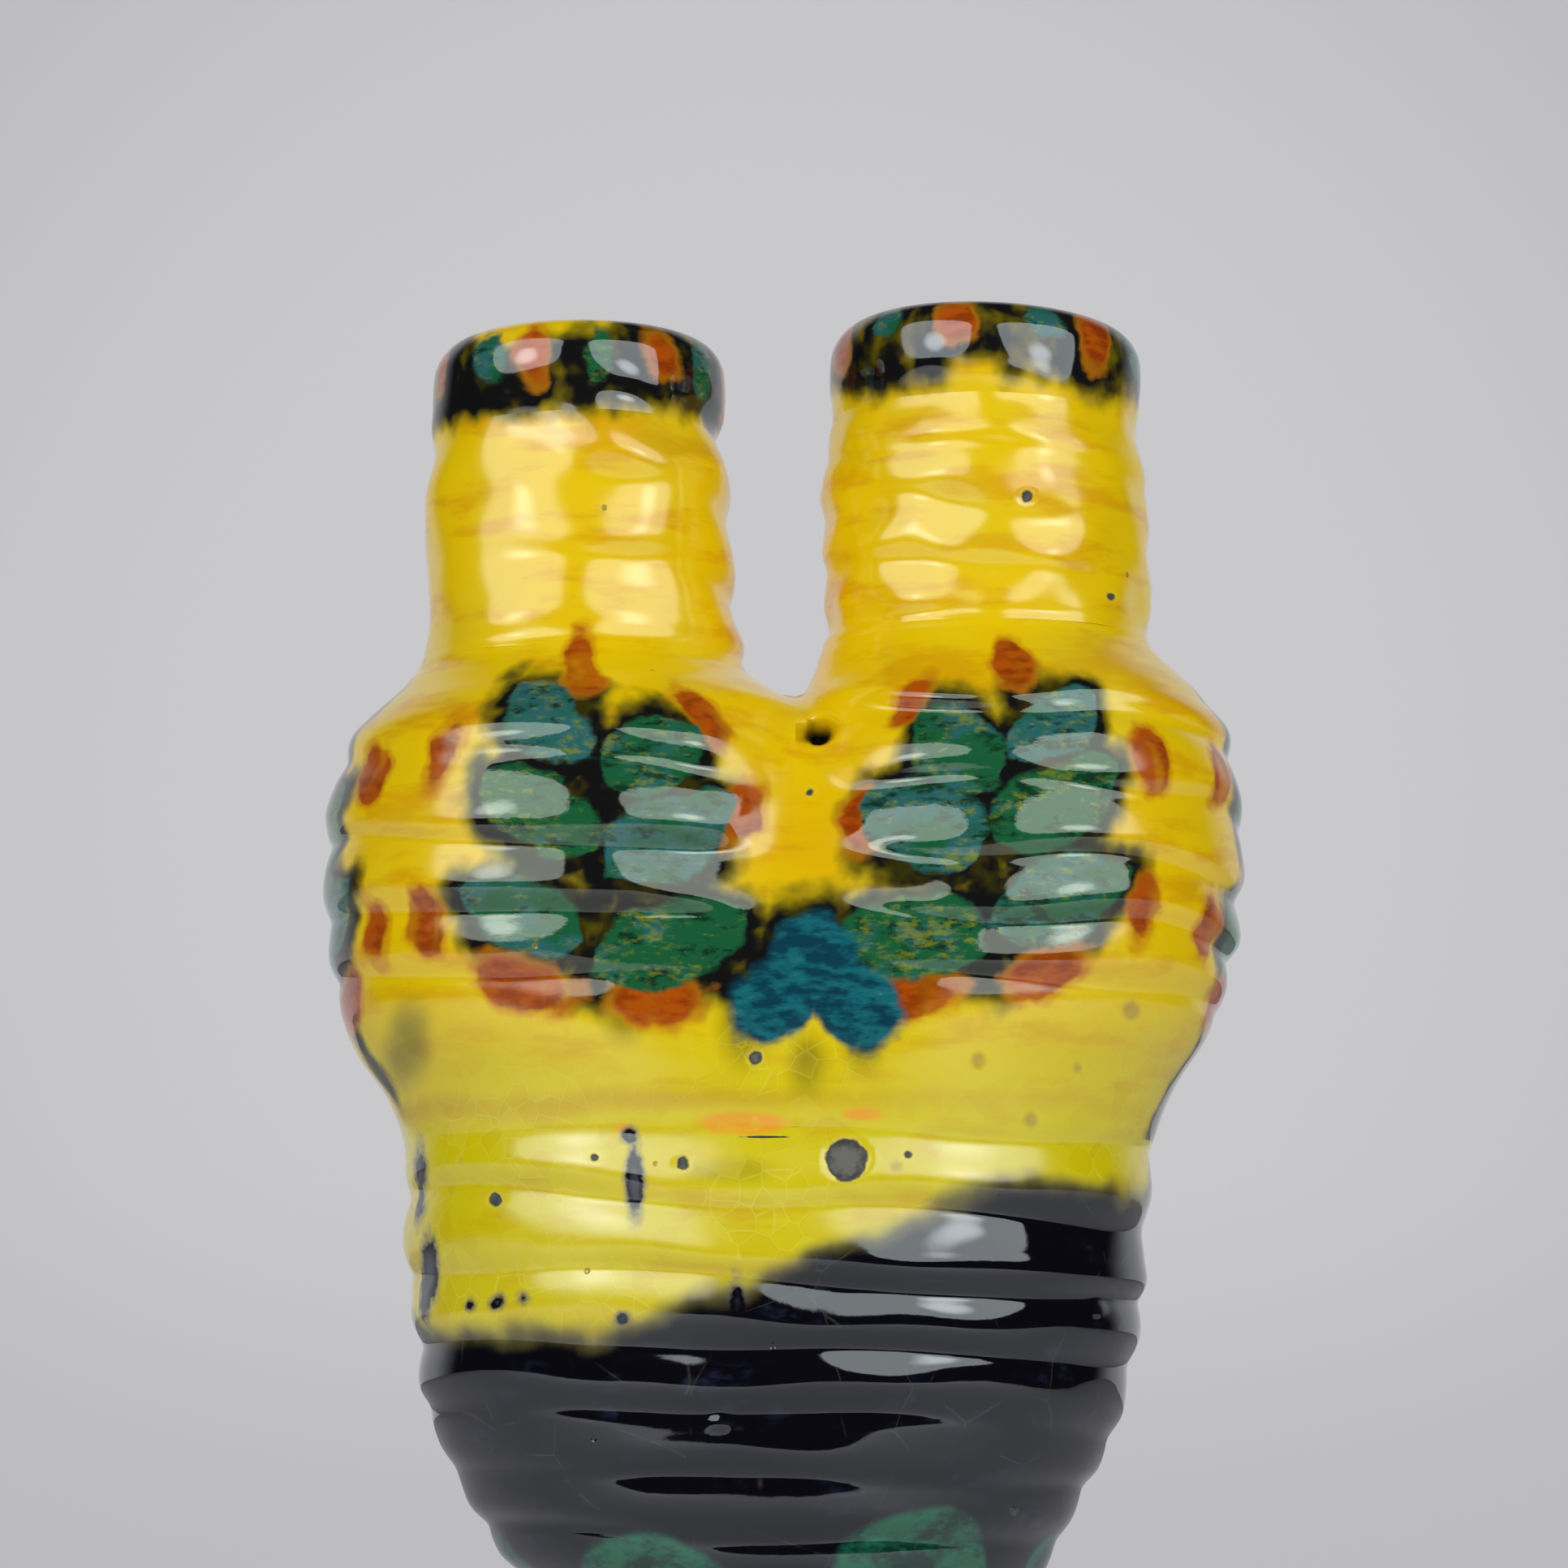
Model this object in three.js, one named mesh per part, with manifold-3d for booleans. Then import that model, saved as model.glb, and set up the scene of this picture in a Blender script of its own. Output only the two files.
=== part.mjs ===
// A twin-necked ceramic vase, thrown in sections on a wheel and luted together with slip.
// Millimetres, +Z up, -Y to the front. The origin is the middle of the foot, on the table.
//
// One field describes the whole pot below the necks. At every height there are two throwing centres,
// one to each side, with a radius round each, and the clay runs smoothly from one circle to the other.
// Low down the centres lie together and make an oval pot. Higher up they part into two round shoulders.

import * as THREE from "three";
import { mergeVertices } from "three/addons/utils/BufferGeometryUtils.js";
import Module from "manifold-3d";

const wasm = await Module();
wasm.setup();

// Clay and joints
const wall = 5;
const slip = 0.3; // line of slip between two luted sections
const lap = 2.5; // height of the stepped seat at each joint
const partyX = 1.6; // plane where the two shoulders are pressed together

// Heights of the joints
const footTop = 8;
const floorThickness = 5;
const seam = 82; // body to shoulders
const neckBase = 152; // shoulders to necks, halfway between the left one and the right one

// Throwing ridges: height from one to the next, how far they stand out, and where one crest passes the front
const bodyRidge = { pitch: 9.2, height: 1.3, crest: 75.9 };
const shoulderRidges = {
  left: { pitch: 8.9, height: 1.3, crest: 116.5 },
  right: { pitch: 8.5, height: 1.3, crest: 118.2 },
};
const neckRidges = {
  left: { pitch: 11, height: 1.3, crest: 169.3 },
  right: { pitch: 11, height: 1.7, crest: 174 },
};
const ridgeFade = 7; // ridges die out over this height beside a joint
const partyFade = 16; // and over this width beside the smeared joint of the shoulders
const rowsPerRidge = 4;

// Foot ring
const footOuter = 29.5;
const footInner = 20;
const footWaist = 28.4;
const footBevel = 1.2;

// Stations up the pot: height, its middle, distance of each throwing centre from the middle,
// radius round each centre, and the width over which the two circles run into each other.
const stations = [
  [footTop, 0, 0, footWaist, 0.5],
  [15, -0.4, 2, 30.2, 2],
  [24, -0.9, 5.6, 32.4, 9],
  [33, -1.3, 9, 34.2, 15],
  [42, -1.3, 12.5, 35.3, 20],
  [54, -1, 14.5, 36.1, 23],
  [72, -1, 15.8, 36.6, 24],
  [seam, -0.8, 16.8, 36.2, 24],
  [89, -0.6, 19.3, 36.5, 28],
  [96, -0.3, 23.4, 37.1, 33],
  [105, 0, 26, 37.4, 32],
  [120, 0, 28, 37.2, 17],
  [131, 0, 28.7, 36, 7],
  [140, 0, 29, 33.2, 5],
  [145, 0, 29, 29.4, 4.5],
  [149, 0, 29, 25.4, 4],
  [neckBase, 0, 29, 22.8, 4],
];

// The shoulders aren't twins: the left one sits lower, and is fuller towards the middle.
const shoulderDrop = 1.8;
const dropFull = 104; // the left one is that much lower above this height
const fullness = 1.8;
const fullnessRise = [104, 134]; // the fullness comes on between these heights
const fullnessEnd = 144; // and is gone again between here and the neck

// Necks: axis, radius, radius at the lip, height of the lip, lean of the axis, slant of the mouth
// to the right and to the front
const necks = {
  left: { axis: -29, radius: 21.9, lip: 20.5, top: 197, lean: -0.8, slant: 0.02, front: 0.028 },
  right: { axis: 29, radius: 23.2, lip: 21.9, top: 199, lean: 0.3, slant: -0.038, front: 0.04 },
};
const rimHeight = 13.5;
const rimSwell = 0.7;
const neckEase = 9; // a neck draws in to its own radius over this height

// Air hole high up in the valley between the shoulders
const ventRadius = 2.2;
const ventLength = 10;
const ventCentre = new THREE.Vector3(4.8, -20, 138.7);

// Points round a ring, and the steps of the plain inner faces
const bodyPoints = 40;
const shoulderPoints = 32;
const partyPoints = 8; // of the shoulder's points, those across its flat side
const leastPartyAngle = 0.3;
const neckPoints = 28;
const innerStep = 12;

// Glazes
const yellowGlaze = { color: 0xd8b204, roughness: 0.12, metalness: 0 };
const blackGlaze = { color: 0x0c0c10, roughness: 0.1, metalness: 0 };
const rimGlaze = { color: 0x2a3a22, roughness: 0.12, metalness: 0 };
const bareClay = { color: 0xb09a7e, roughness: 0.85, metalness: 0 };

const { smoothstep, lerp, clamp } = THREE.MathUtils;

// Even values from low to high, no further apart than step.
function evenly(low, high, step) {
  const count = Math.ceil((high - low) / step);
  return Array.from({ length: count + 1 }, (_, i) => lerp(low, high, i / count));
}

// Even angles from one to another, without the last.
function anglesBetween(first, last, count) {
  return Array.from({ length: count }, (_, i) => lerp(first, last, i / count));
}

// The furthest reach, up to a limit, at which a field that rises outwards is still negative.
function lastInside(fieldAt, furthest) {
  if (fieldAt(furthest) < 0) return furthest;
  let [near, far] = [0, furthest];
  for (let halving = 0; halving < 26; halving += 1) {
    const middle = 0.5 * (near + far);
    if (fieldAt(middle) < 0) near = middle;
    else far = middle;
  }
  return near;
}

// Radius that a throwing ridge adds: one ridge climbs the wall as a screw, and fades towards each joint.
function ridgeAt({ pitch, height, crest }, z, angle, low, high) {
  const fade = smoothstep(z, low, low + ridgeFade) * (1 - smoothstep(z, high - ridgeFade, high));
  const fromFront = angle + 0.5 * Math.PI;
  return 0.5 * height * fade * Math.cos((2 * Math.PI * (z - crest)) / pitch + fromFront);
}

const stationCurve = new THREE.CubicInterpolant(
  stations.map(([z]) => z),
  stations.flatMap(([, ...values]) => values),
  4,
);

// The throwing circle on one side (-1 left, 1 right) at a height.
function circleAt(z, side) {
  const level = z - side * shoulderDrop * smoothstep(z, seam, dropFull);
  const [middle, spread, radius, blend] = stationCurve.evaluate(level);
  const rising = smoothstep(level, ...fullnessRise);
  const fuller = fullness * rising * (1 - smoothstep(level, fullnessEnd, neckBase));
  return { x: middle + side * spread + fuller, radius: radius - side * fuller, blend };
}

// Height at which one side's shoulder ends and its neck begins.
function jointOf(side) {
  return neckBase + side * shoulderDrop;
}

// The pot's section at a height: negative inside the clay line, with the two circles run together.
function sectionAt(z) {
  const left = circleAt(z, -1);
  const right = circleAt(z, 1);
  const blend = 0.5 * (left.blend + right.blend);
  return (x, y) => {
    const fromLeft = Math.hypot(x - left.x, y) - left.radius;
    const fromRight = Math.hypot(x - right.x, y) - right.radius;
    const shared = Math.max(blend - Math.abs(fromLeft - fromRight), 0);
    return Math.min(fromLeft, fromRight) - (shared * shared) / (4 * blend);
  };
}

// A ring of the oval body at a height, this deep under the surface. Ridges show on the surface only.
function bodyRing(z, depth) {
  const section = sectionAt(z);
  return anglesBetween(0, 2 * Math.PI, bodyPoints).map((angle) => {
    const [across, along] = [Math.cos(angle), Math.sin(angle)];
    const reach = lastInside((t) => section(t * across, t * along) + depth, 3 * footOuter);
    const ridge = depth === 0 ? ridgeAt(bodyRidge, z, angle, footTop, seam) : 0;
    return new THREE.Vector3((reach + ridge) * across, (reach + ridge) * along, z);
  });
}

// A ring of one shoulder: the section's own line outside, and flat where it meets the other shoulder.
// The ring starts at one edge of the flat, so that this edge is crisp.
function shoulderRing(side, ridges, z, depth) {
  const section = sectionAt(z);
  const { x: centreX, radius, blend } = circleAt(z, side);
  const flatX = partyX + side * (slip / 2 + depth);
  const flatGap = Math.abs(flatX - centreX);
  const flatHalf = lastInside((y) => section(flatX, y) + depth, radius + blend);
  const edge = Math.max(Math.atan2(flatHalf, flatGap), leastPartyAngle);
  const turns = [
    ...anglesBetween(-edge, edge, partyPoints),
    ...anglesBetween(edge, 2 * Math.PI - edge, shoulderPoints - partyPoints),
  ];
  return turns.map((turn) => {
    const angle = side < 0 ? turn : turn + Math.PI;
    const [across, along] = [Math.cos(angle), Math.sin(angle)];
    const toFlat = Math.cos(turn) > 0 ? flatGap / Math.cos(turn) : Infinity;
    const free = lastInside((t) => section(centreX + t * across, t * along) + depth, radius + blend);
    const clear = smoothstep(Math.abs(centreX + free * across - partyX), 0, partyFade);
    const ridge = depth === 0 ? clear * ridgeAt(ridges, z, angle, seam, jointOf(side)) : 0;
    const reach = Math.min(free + ridge, toFlat);
    return new THREE.Vector3(centreX + reach * across, reach * along, z);
  });
}

// Outer radius of a neck and its rim at a height, before ridges.
function neckRadius({ radius, lip, top }, joint, z) {
  const rimBase = top - rimHeight;
  const drawnIn = lerp(stations.at(-1)[3], radius, smoothstep(z, joint, joint + neckEase));
  const closing = lerp(drawnIn, lip, smoothstep(z, rimBase - neckEase, rimBase));
  return closing + rimSwell * Math.sin(Math.PI * clamp((z - rimBase) / rimHeight, 0, 1));
}

// A ring of a neck. The neck leans a little and its mouth slants, more and more with the height.
function neckRing(side, neck, ridges, z, depth) {
  const joint = jointOf(side);
  const up = (z - joint) / (neck.top - joint);
  return anglesBetween(0, 2 * Math.PI, neckPoints).map((angle) => {
    const ridge = depth === 0 ? ridgeAt(ridges, z, angle, joint, neck.top - rimHeight) : 0;
    const reach = neckRadius(neck, joint, z) + ridge - depth;
    const across = reach * Math.cos(angle);
    const y = reach * Math.sin(angle);
    const x = neck.axis + neck.lean * up + across;
    return new THREE.Vector3(x, y, z + up * (neck.slant * across - neck.front * y));
  });
}

// A closed solid through rings of points: each ring joins the next, and the last joins the first.
function ringLoft(rings) {
  const count = rings[0].length;
  const index = [];
  for (let row = 0; row < rings.length; row += 1) {
    const here = row * count;
    const next = ((row + 1) % rings.length) * count;
    for (let i = 0; i < count; i += 1) {
      const j = (i + 1) % count;
      index.push(here + i, here + j, next + j, here + i, next + j, next + i);
    }
  }
  const geometry = new THREE.BufferGeometry().setFromPoints(rings.flat());
  geometry.setIndex(index);
  geometry.computeVertexNormals();
  return geometry;
}

// Stepped seat at the top of a section: the inner half of the wall stops a lap lower.
function seatRings(ringAt, high) {
  return [ringAt(high, wall / 2), ringAt(high - lap, wall / 2)];
}

// Spigot under a section, which stands in the seat of the section below.
function spigotRings(ringAt, low) {
  return [ringAt(low - lap, wall / 2 + slip), ringAt(low, wall / 2 + slip)];
}

// A thrown wall: outer face up, seat at the top, inner face down, then a spigot or a flat bottom.
function thrownWall(ringAt, low, high, rowStep, hasSpigot) {
  const outer = evenly(low, high, rowStep).map((z) => ringAt(z, 0));
  const innerLow = hasSpigot ? low - lap : low;
  const inner = evenly(innerLow, high - lap, innerStep).map((z) => ringAt(z, wall));
  const spigot = hasSpigot ? spigotRings(ringAt, low) : [];
  return ringLoft([...outer, ...seatRings(ringAt, high), ...inner.reverse(), ...spigot]);
}

// A rim collar: a spigot below, a swelling band, and a lip rolled over to the inside.
function rimCollar(ringAt, low, top, rowStep) {
  const lipRadius = wall / 2;
  const lipBase = top - lipRadius;
  const outer = evenly(low, lipBase, rowStep).map((z) => ringAt(z, 0));
  const rolled = [0.25, 0.5, 0.75].map((share) => {
    const turn = share * Math.PI;
    return ringAt(lipBase + lipRadius * Math.sin(turn), lipRadius * (1 - Math.cos(turn)));
  });
  const inner = [ringAt(lipBase, wall), ringAt(low - lap, wall)];
  return ringLoft([...outer, ...rolled, ...inner, ...spigotRings(ringAt, low)]);
}

// A revolved solid from [radius, height] points, turned from three.js's Y axis to Z.
function turned(points) {
  const profile = points.map(([radius, z]) => new THREE.Vector2(radius, z));
  return new THREE.LatheGeometry(profile, bodyPoints).rotateX(Math.PI / 2);
}

// Trimmed foot ring, with its edges eased and its underside flat.
function footRing() {
  const outline = [
    [footInner, footTop],
    [footInner, footBevel],
    [footInner + footBevel, 0],
    [footOuter - footBevel, 0],
    [footOuter, footBevel],
    [footOuter, 0.4 * footTop],
    [footWaist, footTop],
  ];
  return turned([...outline, outline[0]]);
}

// Floor of the pot, a disc that lies on the foot ring inside the body.
function floorDisc() {
  const radius = footWaist - wall - slip;
  const low = footTop + slip;
  const high = low + floorThickness;
  return turned([
    [0, low],
    [radius, low],
    [radius, high],
    [0, high],
  ]);
}

// A closed geometry as a solid for cutting, and back.
function toSolid(geometry) {
  const bare = geometry.clone();
  bare.deleteAttribute("normal");
  bare.deleteAttribute("uv");
  const merged = mergeVertices(bare);
  const vertProperties = merged.getAttribute("position").array;
  const triVerts = new Uint32Array(merged.index.array);
  return new wasm.Manifold(new wasm.Mesh({ numProp: 3, vertProperties, triVerts }));
}

function toGeometry(solid) {
  const { vertProperties, triVerts } = solid.getMesh();
  const geometry = new THREE.BufferGeometry();
  geometry.setAttribute("position", new THREE.BufferAttribute(vertProperties, 3));
  geometry.setIndex(new THREE.BufferAttribute(triVerts, 1));
  geometry.computeVertexNormals();
  return geometry;
}

// The air hole: a pit poked straight back into the clay.
function withVent(geometry) {
  const poke = new THREE.CylinderGeometry(ventRadius, ventRadius, ventLength, 12);
  poke.translate(ventCentre.x, ventCentre.y, ventCentre.z);
  return toGeometry(toSolid(geometry).subtract(toSolid(poke)));
}

const vase = new THREE.Group();

function addPiece(name, geometry, glaze) {
  const piece = new THREE.Mesh(geometry, new THREE.MeshStandardMaterial(glaze));
  piece.name = name;
  vase.add(piece);
}

addPiece("foot_ring", footRing(), bareClay);
addPiece("floor_disc", floorDisc(), blackGlaze);
const bodyStep = bodyRidge.pitch / rowsPerRidge;
addPiece("body_wall", thrownWall(bodyRing, footTop + slip, seam, bodyStep, false), blackGlaze);

for (const [name, neck] of Object.entries(necks)) {
  const side = Math.sign(neck.axis);
  const joint = jointOf(side);
  const rimBase = neck.top - rimHeight;
  const shoulderAt = (z, depth) => shoulderRing(side, shoulderRidges[name], z, depth);
  const neckAt = (z, depth) => neckRing(side, neck, neckRidges[name], z, depth);
  const neckStep = neckRidges[name].pitch / rowsPerRidge;
  const shoulder = thrownWall(shoulderAt, seam + slip, joint, bodyStep, true);
  addPiece(`${name}_shoulder`, side > 0 ? withVent(shoulder) : shoulder, yellowGlaze);
  addPiece(`${name}_neck`, thrownWall(neckAt, joint + slip, rimBase, neckStep, true), yellowGlaze);
  addPiece(`${name}_rim`, rimCollar(neckAt, rimBase + slip, neck.top, neckStep), rimGlaze);
}

export default vase;
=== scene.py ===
import math

import bmesh
import bpy
import numpy as np
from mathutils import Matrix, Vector


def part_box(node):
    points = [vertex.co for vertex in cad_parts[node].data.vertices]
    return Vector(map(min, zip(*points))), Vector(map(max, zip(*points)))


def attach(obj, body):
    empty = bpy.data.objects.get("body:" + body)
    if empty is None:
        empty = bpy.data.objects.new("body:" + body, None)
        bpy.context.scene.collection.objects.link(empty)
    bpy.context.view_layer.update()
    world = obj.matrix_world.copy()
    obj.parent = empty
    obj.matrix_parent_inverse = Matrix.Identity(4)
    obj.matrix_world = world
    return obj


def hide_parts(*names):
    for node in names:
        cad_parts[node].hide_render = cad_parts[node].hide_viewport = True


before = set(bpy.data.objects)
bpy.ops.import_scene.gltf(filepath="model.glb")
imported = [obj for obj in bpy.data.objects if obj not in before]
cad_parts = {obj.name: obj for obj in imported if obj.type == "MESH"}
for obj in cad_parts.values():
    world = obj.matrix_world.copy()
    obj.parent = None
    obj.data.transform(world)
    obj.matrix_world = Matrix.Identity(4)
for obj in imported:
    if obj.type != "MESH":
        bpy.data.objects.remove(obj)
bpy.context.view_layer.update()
scene = bpy.context.scene
scene.view_settings.view_transform = "Standard"
print("frame loaded with", len(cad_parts), "nodes")

mm = 0.001


# camera at the photo's viewpoint, a little above the table and looking slightly up
camera = {
    "eye": (0.0, -0.72, 0.0375),
    "tiltUp": 7.6,  # degrees
    "focalPixels": 6250,
    "framePixels": 1932,
    "sensor": 36.0,
    "clip": (0.02, 50.0),
}


def makeCamera():
    data = bpy.data.cameras.new("photoCamera")
    data.sensor_width = camera["sensor"]
    data.lens = camera["sensor"] * camera["focalPixels"] / camera["framePixels"]
    data.clip_start, data.clip_end = camera["clip"]
    eye = bpy.data.objects.new("photoCamera", data)
    eye.location = camera["eye"]
    eye.rotation_euler = (math.radians(90 + camera["tiltUp"]), 0, 0)
    scene.collection.objects.link(eye)
    scene.camera = eye


makeCamera()


# small helpers for numbers held in arrays
def smoothStep(low, high, value):
    share = np.clip((value - low) / (high - low), 0, 1)
    return share * share * (3 - 2 * share)


def wrapAngle(angle):
    return (angle + np.pi) % (2 * np.pi) - np.pi


def wobble(angle, height, seed, mostTurns=5, mostClimb=0.3):
    # unevenness of a hand-thrown wall, mostly between -1 and 1, the same after a full turn
    dice = np.random.default_rng(seed)
    waves = 7
    total = np.zeros(np.broadcast(angle, height).shape)
    for _ in range(waves):
        turns = dice.integers(1, mostTurns + 1)
        climb = dice.uniform(-mostClimb, mostClimb)
        total += np.sin(turns * angle + climb * height + dice.uniform(0, 2 * np.pi))
    return total / math.sqrt(waves)


# the pot's own shape in millimetres, the same sections as the solids
pot = {
    "wall": 5.0,
    "partyX": 1.6,
    "lopsided": 1.8,
    "lopsidedFrom": 104.0,
    "lopsidedFull": 134.0,
    "shoulderFull": 104.0,
    "shoulderTurn": 144.0,
    # height, middle, distance of each throwing centre, radius, width of the blend
    "stations": [
        (8, 0, 0, 28.4, 0.5),
        (15, -0.4, 2.0, 30.2, 2),
        (24, -0.9, 5.6, 32.4, 9),
        (33, -1.3, 9, 34.2, 15),
        (42, -1.3, 12.5, 35.3, 20),
        (54, -1, 14.5, 36.1, 23),
        (72, -1, 15.8, 36.6, 24),
        (82, -0.8, 16.8, 36.2, 24),
        (89, -0.6, 19.3, 36.5, 28),
        (96, -0.3, 23.4, 37.1, 33),
        (105, 0, 26, 37.4, 32),
        (120, 0, 28, 37.2, 17),
        (131, 0, 28.7, 36, 7),
        (140, 0, 29, 33.2, 5),
        (145, 0, 29, 29.4, 4.5),
        (149, 0, 29, 25.4, 4),
        (152, 0, 29, 22.8, 4),
    ],
}
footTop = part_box("foot_ring")[1].z / mm
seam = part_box("body_wall")[1].z / mm
joints = {-1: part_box("left_shoulder")[1].z / mm, 1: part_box("right_shoulder")[1].z / mm}
neckBase = 0.5 * (joints[-1] + joints[1])
shoulderDrop = 0.5 * (joints[1] - joints[-1])

stationHeights = np.array([row[0] for row in pot["stations"]], float)
stationValues = np.array([row[1:] for row in pot["stations"]], float)
stationSlopes = np.gradient(stationValues, stationHeights, axis=0)


def potCurve(level):
    # smooth curve through the stations
    level = np.clip(np.asarray(level, float), stationHeights[0], stationHeights[-1])
    i = np.clip(np.searchsorted(stationHeights, level) - 1, 0, len(stationHeights) - 2)
    span = (stationHeights[i + 1] - stationHeights[i])[..., None]
    t = (level - stationHeights[i])[..., None] / span
    start = stationValues[i] * (1 + 2 * t) + stationSlopes[i] * span * t
    end = stationValues[i + 1] * (3 - 2 * t) - stationSlopes[i + 1] * span * (1 - t)
    return np.moveaxis(start * (1 - t) ** 2 + end * t**2, -1, 0)


def circleAt(height, side):
    # throwing circle of one side, -1 left and 1 right: its x, radius and blend
    level = height - side * shoulderDrop * smoothStep(seam, pot["shoulderFull"], height)
    middle, spread, radius, blend = potCurve(level)
    rising = smoothStep(pot["lopsidedFrom"], pot["lopsidedFull"], level)
    falling = 1 - smoothStep(pot["shoulderTurn"], neckBase, level)
    fuller = pot["lopsided"] * rising * falling
    return middle + side * spread + fuller, radius - side * fuller, blend


def sectionAt(height):
    # distance outside the pot at this height, with the two circles run together
    leftX, leftRadius, leftBlend = circleAt(height, -1)
    rightX, rightRadius, rightBlend = circleAt(height, 1)
    blend = 0.5 * (leftBlend + rightBlend)

    def field(x, y):
        fromLeft = np.hypot(x - leftX, y) - leftRadius
        fromRight = np.hypot(x - rightX, y) - rightRadius
        shared = np.maximum(blend - np.abs(fromLeft - fromRight), 0)
        return np.minimum(fromLeft, fromRight) - shared**2 / (4 * blend)

    return field


halvings = 26


def lastInside(fieldAt, furthest):
    # the furthest distance that is still inside, found by halving
    near = np.zeros_like(furthest)
    far = furthest.copy()
    for _ in range(halvings):
        middle = 0.5 * (near + far)
        inside = fieldAt(middle) < 0
        near = np.where(inside, middle, near)
        far = np.where(inside, far, middle)
    return far


# throwing ridges of each section
# crests are their heights at the front, and height is how far they stand out from the grooves
# sides is how much less they stand out at the front, strong is where they do most and by what share
# lumps is how uneven the wall is, soft is how round the grooves are, levels give a share by height
# calm places lose a share of the ridge and pushed ones move it: bearing, height, half widths of both, share
ridges = {
    "body": {
        "crests": (7.6, 15.4, 23.3, 31.0, 39.0, 47.3, 56.4, 65.0, 77.2, 87.0, 96.0),
        "height": 0.9, "sides": 0.1, "strong": (-70, 0.1), "lumps": 0.11, "soft": 0.08, "seed": 11,
        "levels": (
            (8, 0), (16, 0.9), (26, 1.0), (34, 0.8), (41, 0.6), (48, 0.85),
            (58, 1.05), (66, 1), (76, 1), (80, 0.65), (83, 0.15), (88, 0),
        ),
        "calm": ((-118, 51, 22, 5, 0.34), (-108, 42, 30, 4, 0.4)),
        "pushed": ((-118, 60, 25, 6, -0.2),),
    },
    "left": {
        "crests": (88.5, 97.2, 105.8, 115.3, 125.0, 138.0, 149.0),
        "height": 0.95, "sides": 0.15, "strong": (180, 0.0), "lumps": 0.05, "soft": 0.08, "seed": 12,
        "levels": (
            (90, 0), (98, 0.15), (104, 0.8), (108, 1), (120, 1), (128, 1.25), (140, 1.5), (147.5, 0),
        ),
    },
    "right": {
        "crests": (89.0, 97.5, 106.0, 114.0, 123.0, 134.0, 144.0),
        "height": 0.95, "sides": 0.15, "strong": (0, 0.0), "lumps": 0.05, "soft": 0.08, "seed": 13,
        "levels": (
            (90, 0), (98, 0.15), (104, 0.9), (120, 1), (136, 1.2), (141, 1.8), (146, 1.8), (151.5, 0),
        ),
    },
    "leftNeck": {
        "crests": (147, 155.5, 167, 182, 192),
        "height": 0.5, "sides": 0.0, "strong": (20, 0.6), "lumps": 0.24, "soft": 0.6, "seed": 14,
        "levels": ((149, 0), (153, 1), (172, 1), (178, 1.8), (183, 1.8), (188, 0.2)),
        "pushed": ((-66, 158, 28, 7, -0.3), (-66, 178, 28, 6, 0.15)),
    },
    "rightNeck": {
        "crests": (147, 157, 165.2, 173.6, 180.5, 191),
        "height": 0.45, "sides": 0.0, "strong": (180, 0.6), "lumps": 0.22, "soft": 0.6, "seed": 15,
        "levels": ((152, 0), (156, 1), (184, 1), (190, 0)),
        "pushed": ((-66, 168, 28, 6, 0.2),),
    },
}
# the same on every section: lean, stray and unevenness of the ridges, and the waves of the lumps
ridgeHand = {
    "lean": 0.05,
    "stray": 0.08,
    "uneven": 0.25,
    "unevenSeed": 20,
    "lumpSeed": 40,
    "lumpTurns": 12,
    "lumpClimb": 0.6,
}
partyFade = 15.0


def nearby(angle, height, bearing, middle, wide, tall):
    # 1 at a place on the wall, dying out over so many degrees and millimetres
    aside = np.degrees(wrapAngle(angle - math.radians(bearing))) / wide
    return np.exp(-(aside**2) - ((height - middle) / tall) ** 2)


def ridgeRelief(kind, height, angle):
    # how far the ridges lift the wall, and a wave that is 1 on a crest and -1 in a groove
    plan = ridges[kind]
    hand = ridgeHand
    crests = np.array(plan["crests"])
    fromFront = wrapAngle(angle + np.pi / 2)
    turns = np.interp(height, crests, np.arange(len(crests))) + fromFront / (2 * np.pi)
    turns = turns + hand["stray"] * wobble(angle, height, plan["seed"])
    for bearing, middle, wide, tall, share in plan.get("pushed", ()):
        turns = turns + share * nearby(angle, height, bearing, middle, wide, tall)
    # a ridge slopes longer above its crest than below it
    turns = turns + hand["lean"] * np.cos(2 * np.pi * turns)
    soft = plan["soft"]
    deepest = math.sqrt(soft / (1 + soft))
    arch = np.sqrt((np.cos(np.pi * turns) ** 2 + soft) / (1 + soft))
    level = np.interp(height, *np.array(plan["levels"], float).T)
    wave = (2 * (arch - deepest) / (1 - deepest) - 1) * level
    bearing, share = plan["strong"]
    strength = 1 - plan["sides"] * np.cos(2 * fromFront) + share * np.cos(angle - math.radians(bearing))
    uneven = wobble(angle, height, plan["seed"] + hand["unevenSeed"])
    strength = strength * (1 + hand["uneven"] * uneven)
    for bearing, middle, wide, tall, share in plan.get("calm", ()):
        strength = strength * (1 - share * nearby(angle, height, bearing, middle, wide, tall))
    lumpSeed = plan["seed"] + hand["lumpSeed"]
    lumps = plan["lumps"] * wobble(angle, height, lumpSeed, hand["lumpTurns"], hand["lumpClimb"])
    return 0.5 * plan["height"] * strength * wave + lumps * level, wave


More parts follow.
